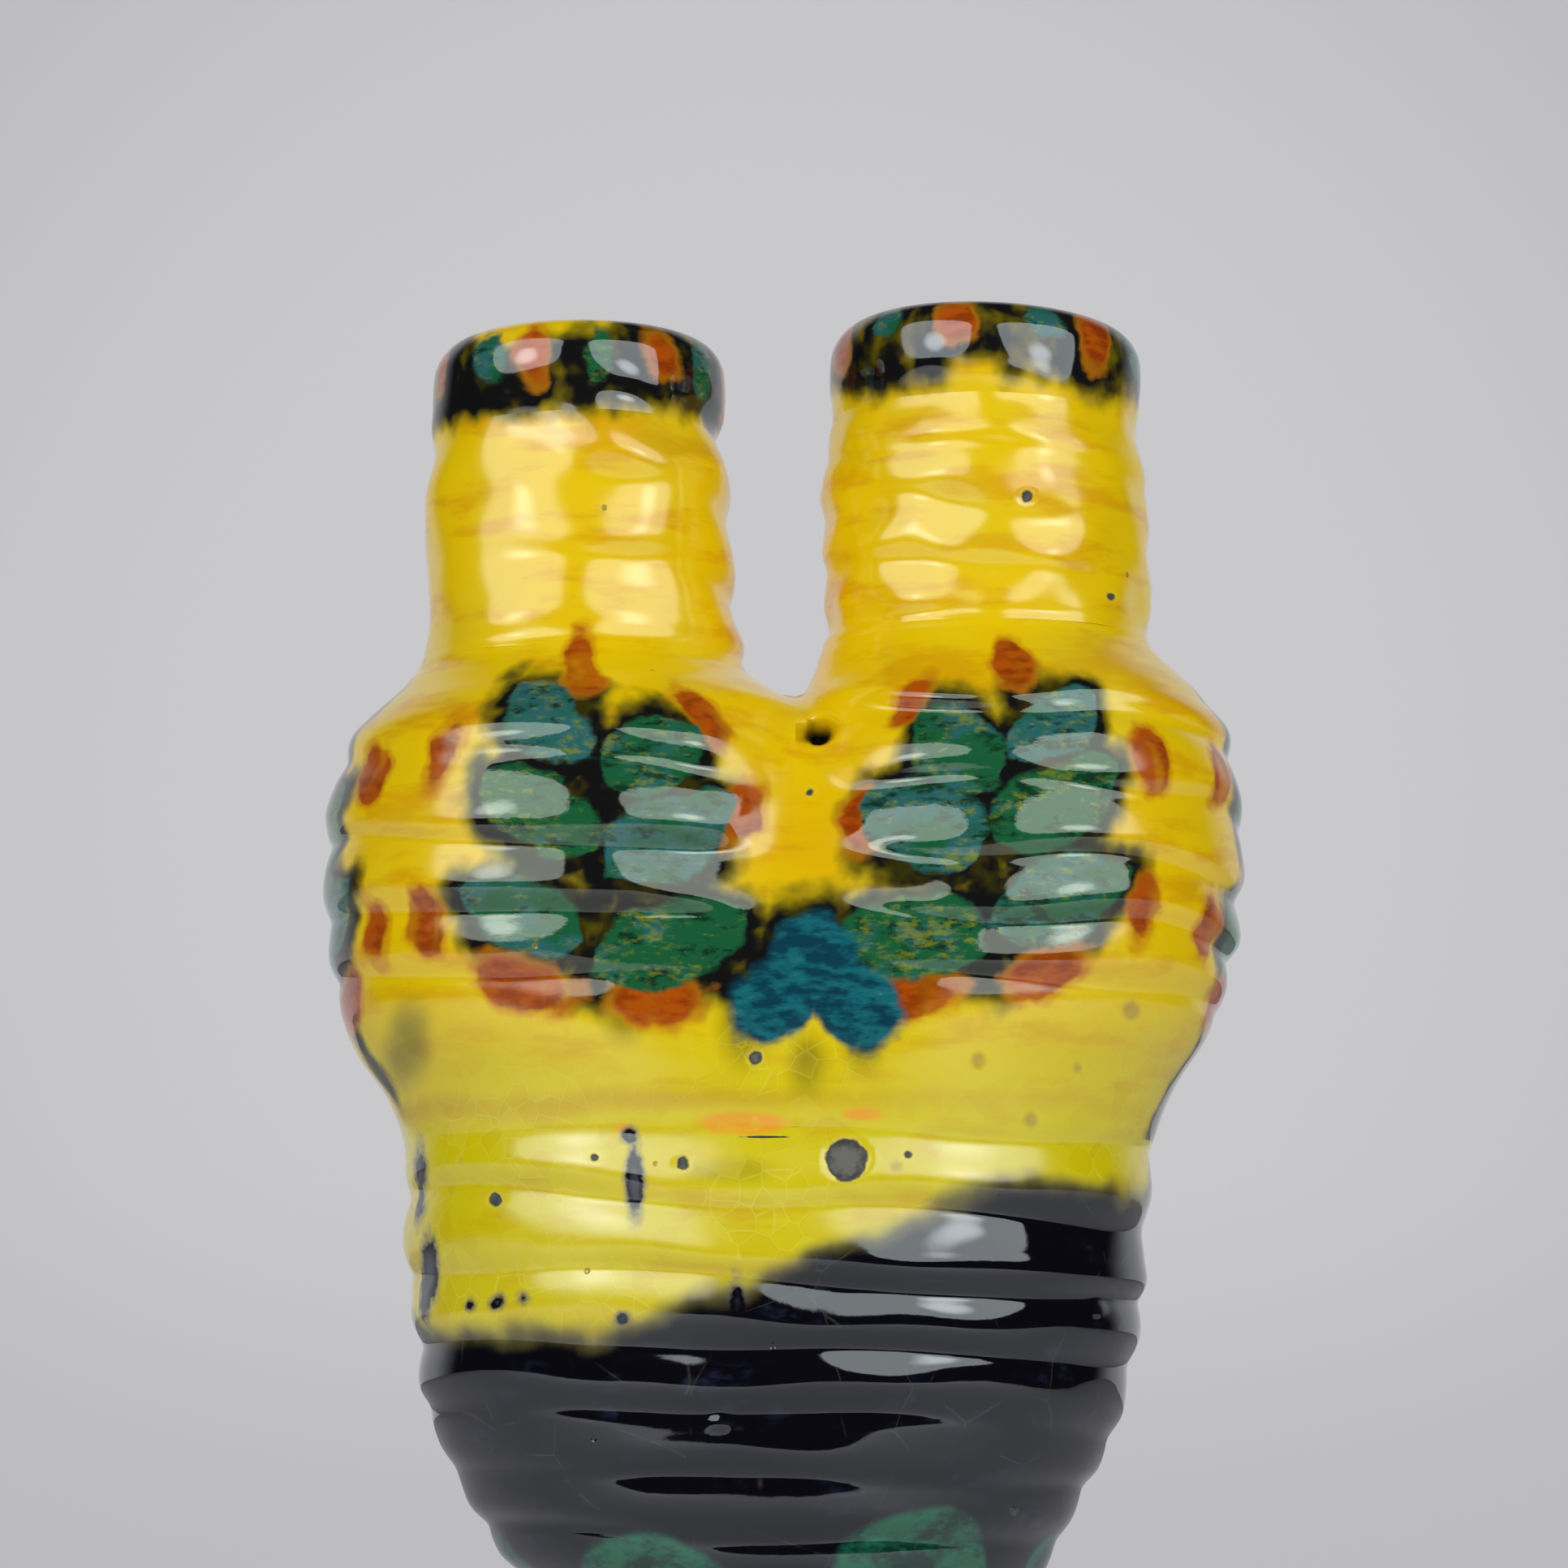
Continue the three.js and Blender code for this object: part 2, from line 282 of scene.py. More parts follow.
# flaws on the front: x, height, radius and depth, which is below 0 for blisters because they stand out
flaws = {
    "pits": (
        (8.4, 77.6, 2.8, 0.5),
        (-13.7, 77.1, 0.85, 0.3),
        (-39.3, 72.8, 0.85, 0.3),
        (-3.9, 91.2, 0.85, 0.35),
        (-25.5, 78.0, 0.5, 0.2),
        (33.9, 171.0, 0.9, 0.6),
        (46.0, 158.2, 0.6, 0.3),
        (3.6, 129.0, 0.6, 0.4),
        (16.6, 78.3, 0.5, 0.2),
        (31.2, 30.8, 0.5, 0.2),
    ),
    "stains": (
        (26.3, 91.0, 1.0, 0.2),
        (33.5, 83.3, 1.0, 0.1),
        (47.5, 98.5, 1.3, 0.1),
        (40.0, 90.5, 0.6, 0.1),
        (15.0, 76.6, 0.7, 0.1),
    ),
    "blisters": (
        (34.2, 29.6, 0.8, -0.25),
        (43.0, 58.2, 1.4, -0.5),
        (-8.6, 42.6, 1.2, -0.2),
    ),
    "edge": (-0.6, 0.3),
    "lip": 0.06,
    "lipAway": 0.5,
    "lipWide": 0.5,
}
frontOf = -6.0  # y in front of which all of these lie
# dark runs of glaze on the front, as x, height and half width, long ones stretched upwards, the crack flat
runs = {
    "tall": 3.5,
    "long": (
        (-50.5, 77.2, 0.8), (-50.7, 73.8, 0.7),
        (-49.0, 63.4, 1.2), (-49.6, 60.6, 1.0),
        (-20.0, 74.2, 1.1), (-20.3, 77.6, 0.45),
        (-6.3, 57.4, 1.1),
    ),
    "round": (
        (-20.8, 80.9, 1.0), (-42.7, 58.5, 0.4), (-39.0, 58.8, 0.9), (-35.2, 59.3, 0.6), (-21.6, 56.3, 0.7),
    ),
    "crackTall": 0.05,
    "crack": ((-2.5, 80.6, 3.0),),
}
# where the dark glaze has run thin into the yellow, as x, height and half width, flat or upright
clouds = {
    "flat": ((-7.0, 76.2, 6.0),),
    "flatTall": 0.3,
    "upright": (
        (-21.5, 98.0, 2.0), (-5.0, 95.5, 3.2), (3.0, 91.0, 2.2), (10.5, 93.5, 2.0), (-52.0, 94.0, 2.4),
    ),
    "uprightTall": 1.5,
}
# air hole in the valley
vent = {"x": 4.9, "z": 138.6, "radius": 2.5, "depth": 7.0, "edge": (-1.3, 0.4), "roof": (1.1, -0.7)}


def pressFlaws(x, y, z):
    # pushes the front in at each flaw, and tells how near each point is to the air hole
    front = y < frontOf
    moved = y.copy()
    for flawX, flawZ, radius, depth in flaws["pits"] + flaws["stains"] + flaws["blisters"]:
        gap = np.hypot(x - flawX, z - flawZ) - radius
        softer = max(1.0, radius) if depth < 0 else 1.0
        press = 1 - smoothStep(flaws["edge"][0] * softer, flaws["edge"][1], gap)
        fromLip = (gap - flaws["lipAway"]) / flaws["lipWide"]
        raised = flaws["lip"] * np.exp(-(fromLip**2)) if depth > 0 else 0
        moved = moved + np.where(front, depth * (press - raised), 0)
    gap = np.hypot(x - vent["x"], z - vent["z"]) - vent["radius"]
    hole = np.where(front, 1 - smoothStep(*vent["edge"], gap), 0)
    # the hole was poked downwards, so its roof slopes in from the upper edge
    roofHigh, roofLow = (share * vent["radius"] for share in vent["roof"])
    hole = hole * smoothStep(roofHigh, roofLow, z - vent["z"])
    return moved + vent["depth"] * hole, hole


# a wall profile is spun at one radius, and the turned ring is then drawn to the pot's shape
shellRadius = 100.0
wallSteps = {"outer": 0.45, "inner": 3.0, "across": 1.0}


def evenly(low, high, step):
    return np.linspace(low, high, max(2, int(math.ceil(abs(high - low) / step)) + 1))


def wallProfile(low, high):
    # depth and height of a closed wall section, up the outside and down the inside
    wall = pot["wall"]
    outside = [(0, z) for z in evenly(low, high, wallSteps["outer"])]
    top = [(d, high) for d in evenly(0, wall, wallSteps["across"])[1:-1]]
    inside = [(wall, z) for z in evenly(high, low, wallSteps["inner"])]
    bottom = [(d, low) for d in evenly(wall, 0, wallSteps["across"])[1:-1]]
    return outside + top + inside + bottom


# rolled lip: how far it comes in and how high it is, outside and inside the crest
lip = {"outerIn": 3.3, "outerHigh": 4.4, "innerHigh": 2.4, "steps": 14, "innerStep": 0.8}


def rimProfile(low, high):
    # as a wall, with the lip rolled over from the outside to the inside
    wall = pot["wall"]
    quarter = np.linspace(0, math.pi / 2, lip["steps"])
    outside = [(0, z) for z in evenly(low, high - lip["outerHigh"], wallSteps["outer"])]
    over = [
        (lip["outerIn"] * (1 - math.cos(turn)), high - lip["outerHigh"] * (1 - math.sin(turn)))
        for turn in quarter[1:]
    ]
    innerIn = wall - lip["outerIn"]
    under = [
        (wall - innerIn * (1 - math.sin(turn)), high - lip["innerHigh"] * (1 - math.cos(turn)))
        for turn in quarter[1:]
    ]
    inside = [(wall, z) for z in evenly(high - lip["innerHigh"], low, lip["innerStep"])[1:]]
    bottom = [(d, low) for d in evenly(wall, 0, wallSteps["across"])[1:-1]]
    return outside + over + under + inside + bottom


mergeDistance = 1e-4


def spinProfile(name, profile, steps, radius):
    bm = bmesh.new()
    ring = [bm.verts.new((radius - depth, 0, z)) for depth, z in profile]
    edges = [bm.edges.new((ring[i - 1], ring[i])) for i in range(len(ring))]
    bmesh.ops.spin(
        bm,
        geom=ring + edges,
        cent=(0, 0, 0),
        axis=(0, 0, 1),
        dvec=(0, 0, 0),
        angle=2 * math.pi,
        steps=steps,
        use_merge=True,
    )
    bmesh.ops.remove_doubles(bm, verts=bm.verts, dist=mergeDistance)
    bmesh.ops.recalc_face_normals(bm, faces=bm.faces)
    mesh = bpy.data.meshes.new(name)
    bm.to_mesh(mesh)
    bm.free()
    return mesh


def readPoints(mesh):
    flat = np.empty(len(mesh.vertices) * 3)
    mesh.vertices.foreach_get("co", flat)
    return flat.reshape(-1, 3).T


def writePoints(mesh, x, y, z):
    mesh.vertices.foreach_set("co", np.stack([x, y, z], axis=1).ravel() * mm)
    mesh.update()


def ringCoordinates(mesh):
    # angle, depth in the wall and height of each point of a spun profile
    x, y, z = readPoints(mesh)
    return np.arctan2(y, x), np.maximum(shellRadius - np.hypot(x, y), 0), z


# bead of clay left by the potter's tool at the foot of each neck
joining = {"neckBead": 0.45, "neckWidth": 0.7}


def joinRelief(height, joint, lift, width):
    return lift * np.exp(-(((height - joint) / width) ** 2))


# the front of the body draws in a little less towards the foot than its sides do
frontFull = {"out": 2.4, "bearing": -93, "height": 20, "wide": 42, "tall": 16}
# soft swellings of its wall: how far out, bearing and height, and the half widths of both
swells = ((0.8, -102, 54, 13, 14),)


bodyReach = 90.0  # further out than any point of the body


def drawBody(angle, depth, height):
    field = sectionAt(height)
    across = np.cos(angle)
    along = np.sin(angle)
    reach = lastInside(lambda t: field(t * across, t * along) + depth, np.full(angle.shape, bodyReach))
    relief, wave = ridgeRelief("body", height, angle)
    full = frontFull
    near = nearby(angle, height, full["bearing"], full["height"], full["wide"], full["tall"])
    relief = relief + full["out"] * near * smoothStep(footTop, full["height"], height)
    for out, bearing, middle, wide, tall in swells:
        relief = relief + out * nearby(angle, height, bearing, middle, wide, tall)
    reach = reach + relief * (1 - depth / pot["wall"])
    return reach * across, reach * along, height, wave


# flat side of a shoulder: its share of the turn, the least angle it takes up, how near to edge on
# a direction may be and still meet it, and the distance given where none is met
flatSide = {"share": 1 / 12, "leastTurn": 0.25, "edgeOn": 0.02, "never": 999.0}


def drawShoulder(side, angle, depth, height):
    kind = "left" if side < 0 else "right"
    flatShare = flatSide["share"]
    field = sectionAt(height)
    centre, radius, blend = circleAt(height, side)
    flatX = pot["partyX"] + side * depth
    flatGap = np.abs(flatX - centre)
    furthest = radius + blend
    flatHalf = lastInside(lambda y: field(flatX, y) + depth, furthest)
    edge = np.maximum(np.arctan2(flatHalf, flatGap), flatSide["leastTurn"])
    # the first part of the turn lies across the flat side, and the rest goes round
    share = (angle % (2 * np.pi)) / (2 * np.pi)
    onFlat = edge * (2 * share / flatShare - 1)
    around = edge + (2 * np.pi - 2 * edge) * (share - flatShare) / (1 - flatShare)
    turn = np.where(share < flatShare, onFlat, around)
    facing = turn if side < 0 else turn + np.pi
    across = np.cos(facing)
    along = np.sin(facing)
    towards = np.cos(turn)
    edgeOn = flatSide["edgeOn"]
    toFlat = np.where(towards > edgeOn, flatGap / np.maximum(towards, edgeOn), flatSide["never"])
    free = lastInside(lambda t: field(centre + t * across, t * along) + depth, furthest)
    fromParty = np.abs(centre + free * across - pot["partyX"])
    clear = smoothStep(0, partyFade, fromParty)
    bodyAngle = np.arctan2(free * along, centre + free * across)
    bodyRelief, bodyWave = ridgeRelief("body", height, bodyAngle)
    ownRelief, ownWave = ridgeRelief(kind, height, facing)
    bead = joinRelief(height, joints[side], joining["neckBead"], joining["neckWidth"])
    outer = 1 - depth / pot["wall"]
    reach = np.minimum(free + (ownRelief * clear + bead) * outer, toFlat)
    lifted = np.where(share < flatShare, 0, bodyRelief * outer)
    x = centre + reach * across + lifted * np.cos(bodyAngle)
    y = reach * along + lifted * np.sin(bodyAngle)
    return x, y, height, bodyWave + ownWave * clear


# necks and rims: axis, radius, lip radius, height of the lip, lean, slant and rise of the front
necks = {
    -1: {
        "axis": -29.0, "radius": 21.9, "lip": 20.5, "top": 197.0,
        "lean": -0.8, "slant": 0.02, "front": 0.028,
    },
    1: {
        "axis": 29.0, "radius": 23.2, "lip": 21.9, "top": 199.0,
        "lean": 0.3, "slant": -0.038, "front": 0.04,
    },
}
rimHeight = 13.5
rimSwell = 0.7
neckEase = 9.0
neckUneven = {"out": 0.3, "over": 8.0, "seed": 60, "turns": 4, "climb": 0.15}


def drawNeck(side, angle, depth, height):
    neck = necks[side]
    kind = "leftNeck" if side < 0 else "rightNeck"
    joint = joints[side]
    rimBase = neck["top"] - rimHeight
    baseRadius = stationValues[-1][2]
    radius = baseRadius + (neck["radius"] - baseRadius) * smoothStep(joint, joint + neckEase, height)
    radius = radius + (neck["lip"] - radius) * smoothStep(rimBase - neckEase, rimBase, height)
    radius = radius + rimSwell * np.sin(np.pi * np.clip((height - rimBase) / rimHeight, 0, 1))
    relief, wave = ridgeRelief(kind, height, angle)
    seed = ridges[kind]["seed"] + neckUneven["seed"]
    uneven = neckUneven["out"] * wobble(angle, height, seed, neckUneven["turns"], neckUneven["climb"])
    relief = relief + uneven * smoothStep(joint, joint + neckUneven["over"], height)
    relief = relief + joinRelief(height, joint, joining["neckBead"], joining["neckWidth"])
    reach = radius - depth + relief * np.clip(1 - depth / pot["wall"], 0, 1)
    up = (height - joint) / (neck["top"] - joint)
    across = reach * np.cos(angle)
    x = neck["axis"] + neck["lean"] * up + across
    y = reach * np.sin(angle)
    return x, y, height + up * (neck["slant"] * across - neck["front"] * y), wave


# painting: every brush mark is a gap in millimetres of wall, negative inside the mark
def turnedTo(mark, degrees, u, v):
    # distances along and across a mark that is turned by so many degrees
    turn = math.radians(degrees)
    du = u - mark["u"]
    dv = v - mark["v"]
    return du * math.cos(turn) + dv * math.sin(turn), dv * math.cos(turn) - du * math.sin(turn)


def dabGap(u, v, dab):
    along, over = turnedTo(dab, dab.get("tilt", 0), u, v)
    return (np.hypot(along / dab["long"], over / dab["wide"]) - 1) * min(dab["long"], dab["wide"])


leafForm = {"round": 0.65, "foot": 1.2, "taper": 0.4}


def leafGap(u, v, leaf):
    # gap to a pointed leaf
    along, over = turnedTo(leaf, leaf["turn"], u, v)
    share = np.clip(along / leaf["long"], 0, 1)
    half = leaf["half"] * (4 * share * (1 - share)) ** leafForm["round"]
    half = half * (leafForm["foot"] - leafForm["taper"] * share)
    beyond = np.maximum(np.maximum(-along, along - leaf["long"]), 0)
    return np.hypot(np.maximum(np.abs(over) - half, 0), beyond) + np.minimum(np.abs(over) - half, 0)


# a leafy sprig: leaves up a bending stem, a bud on top, rust petals beside it
sprig = {
    "stemHalf": 0.9,
    "stemFoot": -2.0,
    "stemTop": 40.0,
    "bend": 3.0,
    "turnStray": 6.0,
    "longStray": 0.08,
    "halfStray": 0.1,
    "petalStray": 0.12,
    "runDown": 1.4,
    # height on the stem, side, turn above level in degrees, length, half width, shade
    "leaves": (
        (1.5, 1, 20, 20, 5.6, 0.25),
        (5.5, -1, 24, 19, 5.6, 0.75),
        (14.0, 1, 28, 20, 5.4, 0.85),
        (18.0, -1, 32, 19, 5.4, 0.20),
        (26.5, 1, 36, 17, 5.0, 0.50),
        (30.0, -1, 40, 16, 4.8, 0.90),
    ),
    # across and height of each rust mark, with its two half sizes and tilt
    "petals": (
        (0.5, 43.0, 4.8, 3.2, 70),
        (21.5, 22.0, 4.4, 2.8, 60),
        (18.5, 37.5, 4.2, 2.6, 120),
        (-20.5, 30.5, 4.4, 2.8, 70),
        (-21.5, 8.0, 4.0, 2.6, 95),
        (-9.5, -0.5, 5.4, 3.4, 165),
        (8.5, -3.5, 5.2, 3.2, 10),
    ),
}


def stemAt(v, flip):
    return flip * sprig["bend"] * np.sin(math.pi * v / sprig["stemTop"])


def makeSprig(flip, seed):
    dice = np.random.default_rng(seed)
    leaves = []
    for low, side, rise, long, half, shade in sprig["leaves"]:
        stray = dice.uniform(-1, 1, 4)
        turn = rise + sprig["turnStray"] * stray[0]
        leaves.append({
            "u": stemAt(low, flip) + flip * side,
            "v": low + stray[1],
            "turn": turn if side * flip > 0 else 180 - turn,
            "long": long * (1 + sprig["longStray"] * stray[2]),
            "half": half * (1 + sprig["halfStray"] * stray[3]),
            "shade": shade,
        })
    petals = []
    for across, height, long, wide, tilt in sprig["petals"]:
        stray = dice.uniform(-1, 1, 4)
        petals.append({
            "u": flip * across + stray[0],
            "v": height + stray[1],
            "long": long * (1 + sprig["petalStray"] * stray[2]),
            "wide": wide * (1 + sprig["petalStray"] * stray[3]),
            "tilt": tilt if flip > 0 else 180 - tilt,
        })
    return leaves, petals


def stemGap(u, v, flip):
    beyond = np.maximum(np.maximum(sprig["stemFoot"] - v, v - sprig["stemTop"]), 0)
    return np.hypot(np.maximum(np.abs(u - stemAt(v, flip)) - sprig["stemHalf"], 0), beyond)


# where the sprigs stand round each shoulder: bearing in degrees, foot height, which way they bend, seed
sprigPlaces = {
    -1: [(-91, 102.5, 1, 31), (-178, 102.0, -1, 32), (100, 103.0, 1, 33)],
    1: [(-87, 103.5, -1, 34), (4, 102.5, 1, 35), (84, 102.0, -1, 36)],
}
bulbRadius = 36.0

# dark brush strokes down the sides of the shoulders: bearing, height, half length and half width
strokes = {-1: ((-163, 97.5, 6.0, 0.4),), 1: ((-11, 92.5, 8.0, 0.4),)}

# three blue petals under the valley, as x and height on the wall, front and back
blueDabs = [
    {"u": 4.2, "v": 105.6, "long": 6.4, "wide": 5.6, "tilt": 90},
    {"u": -1.4, "v": 98.6, "long": 6.4, "wide": 5.4, "tilt": 40},
    {"u": 9.6, "v": 98.2, "long": 6.4, "wide": 5.4, "tilt": 140},
]

# their dark outline dies out towards the foot of each
blueOutline = {"thinner": 4.0, "fade": (2.0, -3.0)}

# orange smears at the seam, as x and height on the wall
smears = [
    {"u": -5.5, "v": 82.5, "long": 6.2, "wide": 1.5},
    {"u": 10.5, "v": 83.6, "long": 2.6, "wide": 0.8},
    {"u": -21.6, "v": 82.0, "long": 1.2, "wide": 0.6},
]

# upper edge of the dark dip round the body: bearing in degrees and height
dipEdge = [
    (-180, 59.0), (-165, 55.0), (-150, 53.8), (-137, 54.8), (-126, 53.2), (-115, 56.0),
    (-107, 58.4), (-99, 60.0), (-91, 61.8), (-81, 65.0), (-70, 67.2), (-60, 71.3),
    (-50, 74.0), (-40, 75.0), (-25, 73.5), (-12, 74.0), (0, 81.0), (15, 80.0),
    (45, 70.0), (90, 66.0), (135, 62.0), (180, 59.0),
]

# round green dabs low on the dark dip: bearing, height and half width
lowDabs = {
    "tall": 10.0,
    "places": (
        (-120, 18, 13),
        (-60, 21.5, 13),
        (-10, 18, 11),
        (40, 20, 12),
        (95, 18, 11),
        (150, 20, 12),
        (-170, 19, 11),
    ),
}

# painted rims: height of the dark band on each, how far its edges stray, and the dabs on it
rimPaint = {
    "band": {-1: 10.5, 1: 8.5},
    "thickest": 0.6,
    # distance, seed and most waves of each stray
    "lowerStrays": ((1.3, 61, 4), (0.6, 64, 22)),
    "upperStray": (1.1, 67, 7),
    "upperGap": 0.6,
    "dabs": 14,
    "dabSeed": 71,
    "dabLevel": 0.58,
    "dabHalf": 2.4,
    "dabTall": 3.6,
    # a dab's stray in angle, height, half width, half height and tilt
    "dabStrays": (0.12, 0.8, 0.25, 0.2, 12.0),
}
# the left lip is bare of paint here
bareLip = {"bearing": -108, "wide": 26, "drop": 7.0}

paintLayers = (
    "dip", "leaf", "leafShade", "halo", "rust", "blue", "sunk", "smear", "hole", "ridge", "inner",
)
farOff = 50.0


def blankPaint(count):
    layers = {name: np.full(count, farOff) for name in paintLayers}
    for name in ("leafShade", "hole", "ridge", "inner"):
        layers[name] = np.zeros(count)
    return layers


def writePaint(mesh, layers):
    for name, values in layers.items():
        layer = mesh.attributes.new(name, "FLOAT", "POINT")
        layer.data.foreach_set("value", values.astype(np.float32))


def addLeaf(layers, gap, shade):
    nearer = gap < layers["leaf"]
    layers["leafShade"] = np.where(nearer, shade, layers["leafShade"])
    layers["leaf"] = np.minimum(layers["leaf"], gap)


def addMark(layers, name, gap):
    layers[name] = np.minimum(layers[name], gap)


def paintSprigs(layers, side, x, y, z):
    centre, _, _ = circleAt(z, side)
    bearing = np.arctan2(y, x - centre)
    for degrees, footHeight, flip, seed in sprigPlaces[side]:
        leaves, petals = makeSprig(flip, seed)
        u = wrapAngle(bearing - math.radians(degrees)) * bulbRadius
        v = z - footHeight
        for leaf in leaves:
            gap = leafGap(u, v, leaf)
            addLeaf(layers, gap, leaf["shade"])
            addMark(layers, "halo", np.minimum(gap, leafGap(u, v + sprig["runDown"], leaf)))
        for petal in petals:
            addMark(layers, "rust", dabGap(u, v, petal))
        addMark(layers, "halo", stemGap(u, v, flip))
    for degrees, middle, half, wide in strokes[side]:
        u = wrapAngle(bearing - math.radians(degrees)) * bulbRadius
        addMark(layers, "halo", np.hypot(u, np.maximum(np.abs(z - middle) - half, 0)) - wide)


def paintBlue(layers, x, y, z):
    for dab in blueDabs:
        gap = dabGap(x, z, dab)
        addMark(layers, "blue", gap)
        thinner = blueOutline["thinner"] * smoothStep(*blueOutline["fade"], z - dab["v"])
        addMark(layers, "halo", gap + thinner)


def paintSmears(layers, x, y, z):
    for smear in smears:
        addMark(layers, "smear", np.where(y < 0, dabGap(x, z, smear), farOff))


def paintDip(layers, x, y, z):
    bearing = np.degrees(np.arctan2(y, x))
    edges = np.array(dipEdge, float)
    layers["dip"] = z - np.interp(bearing, edges[:, 0], edges[:, 1])


def paintBody(layers, x, y, z):
    paintDip(layers, x, y, z)
    bearing = np.arctan2(y, x)
    around = np.hypot(x, y)
    for degrees, middle, half in lowDabs["places"]:
        u = wrapAngle(bearing - math.radians(degrees)) * around
        dab = {"u": 0, "v": middle, "long": half, "wide": lowDabs["tall"]}
        addMark(layers, "sunk", dabGap(u, z, dab))


def paintRim(layers, side, angle, height):
    plan = rimPaint
    top = necks[side]["top"]
    band = plan["band"][side]
    low = top - band
    level = np.zeros(angle.shape)

    def strayBy(far, seed, mostTurns):
        return far * wobble(angle, level, seed + side, mostTurns)

    drips = sum(strayBy(*row) for row in plan["lowerStrays"])
    upperEdge = top - plan["upperGap"] + strayBy(*plan["upperStray"])
    if side < 0:
        near = nearby(angle, level, bareLip["bearing"], 0, bareLip["wide"], 1)
        upperEdge = upperEdge - bareLip["drop"] * near
    gap = np.maximum(low + drips - height, height - upperEdge)
    addMark(layers, "halo", np.maximum(gap, plan["thickest"]))
    dice = np.random.default_rng(plan["dabSeed"] + side)
    step = 2 * math.pi / plan["dabs"]
    for place in range(plan["dabs"]):
        stray = dice.uniform(-1, 1, 5)
        off = stray * plan["dabStrays"]
        u = wrapAngle(angle - place * step - off[0]) * necks[side]["lip"]
        gap = dabGap(u, height, {
            "u": 0,
            "v": low + plan["dabLevel"] * band + off[1],
            "long": plan["dabHalf"] * (1 + off[2]),
            "wide": plan["dabTall"] * (1 + off[3]),
            "tilt": off[4],
        })
        if place % 2 == 0:
            addMark(layers, "rust", gap)
        else:
            addLeaf(layers, gap, 0.5 + 0.5 * stray[2])


# shader maths: a wire stands for a socket, and sums on wires add their Math nodes
class Wire:
    def __init__(self, tree, socket):
        self.tree = tree
        self.socket = socket

    def node(self, kind, settings, inputs, output=0):
        made = self.tree.nodes.new(kind)
        for key, value in settings.items():
            setattr(made, key, value)
        for key, value in inputs.items():
            if isinstance(value, Wire):
                self.tree.links.new(value.socket, made.inputs[key])
            else:
                made.inputs[key].default_value = value
        if len(made.outputs) == 0:
            return None
        return Wire(self.tree, made.outputs[output])

    def maths(self, operation, first, second):
        return self.node("ShaderNodeMath", {"operation": operation}, {0: first, 1: second})

    def __add__(self, other):
        return self.maths("ADD", self, other)

    def __radd__(self, other):
        return self.maths("ADD", other, self)

    def __sub__(self, other):
        return self.maths("SUBTRACT", self, other)

    def __rsub__(self, other):
        return self.maths("SUBTRACT", other, self)

    def __mul__(self, other):
        return self.maths("MULTIPLY", self, other)

    def __rmul__(self, other):
        return self.maths("MULTIPLY", other, self)

    def __abs__(self):
        return self.node("ShaderNodeMath", {"operation": "ABSOLUTE"}, {0: self})

    def least(self, other):
        return self.maths("MINIMUM", self, other)

    def vector(self, operation, other, output=0):
        return self.node("ShaderNodeVectorMath", {"operation": operation}, {0: self, 1: other}, output)

    def part(self, index):
        # x, y or z of a vector
        return self.node("ShaderNodeSeparateXYZ", {}, {"Vector": self}, index)

    def red(self):
        return self.node("ShaderNodeSeparateColor", {}, {"Color": self}, 0)

    def rise(self, low, high):
        # 0 at low and 1 at high, smooth between them, and falling where low is the greater
        return self.node(
            "ShaderNodeMapRange",
            {"interpolation_type": "SMOOTHSTEP"},
            {"Value": self, "From Min": low, "From Max": high},
        )

    def between(self, first, second):
        # one colour where this is 0, and another where it is 1
        return self.node("ShaderNodeMix", {"data_type": "RGBA"}, {0: self, 6: first, 7: second}, 2)

    def under(self, share, colour):
        # this colour with another laid over it
        return share.between(self, colour)

    def noise(self, scale, detail=3.0, rough=0.55):
        return self.node(
            "ShaderNodeTexNoise",
            {},
            {"Vector": self, "Scale": scale, "Detail": detail, "Roughness": rough},
        )

    def cells(self, scale, feature, output=0):
        inputs = {"Vector": self, "Scale": scale}
        return self.node("ShaderNodeTexVoronoi", {"feature": feature}, inputs, output)

    def stretched(self, scale):
        return self.node("ShaderNodeMapping", {}, {"Vector": self, "Scale": scale})


def newMaterial(name):
    material = bpy.data.materials.new(name)
    material.use_nodes = True
    material.node_tree.nodes.clear()
    place = material.node_tree.nodes.new("ShaderNodeTexCoord").outputs["Object"]
    return material, Wire(material.node_tree, place)


def finishMaterial(start, inputs):
    surface = start.node("ShaderNodeBsdfPrincipled", {}, inputs)
    start.node("ShaderNodeOutputMaterial", {}, {"Surface": surface})


def heightOf(place):
    # height above the table in millimetres
    return place.part(2) * (1 / mm)


def layerOf(place, name):
    return place.node("ShaderNodeAttribute", {"attribute_name": name}, {}, 2)


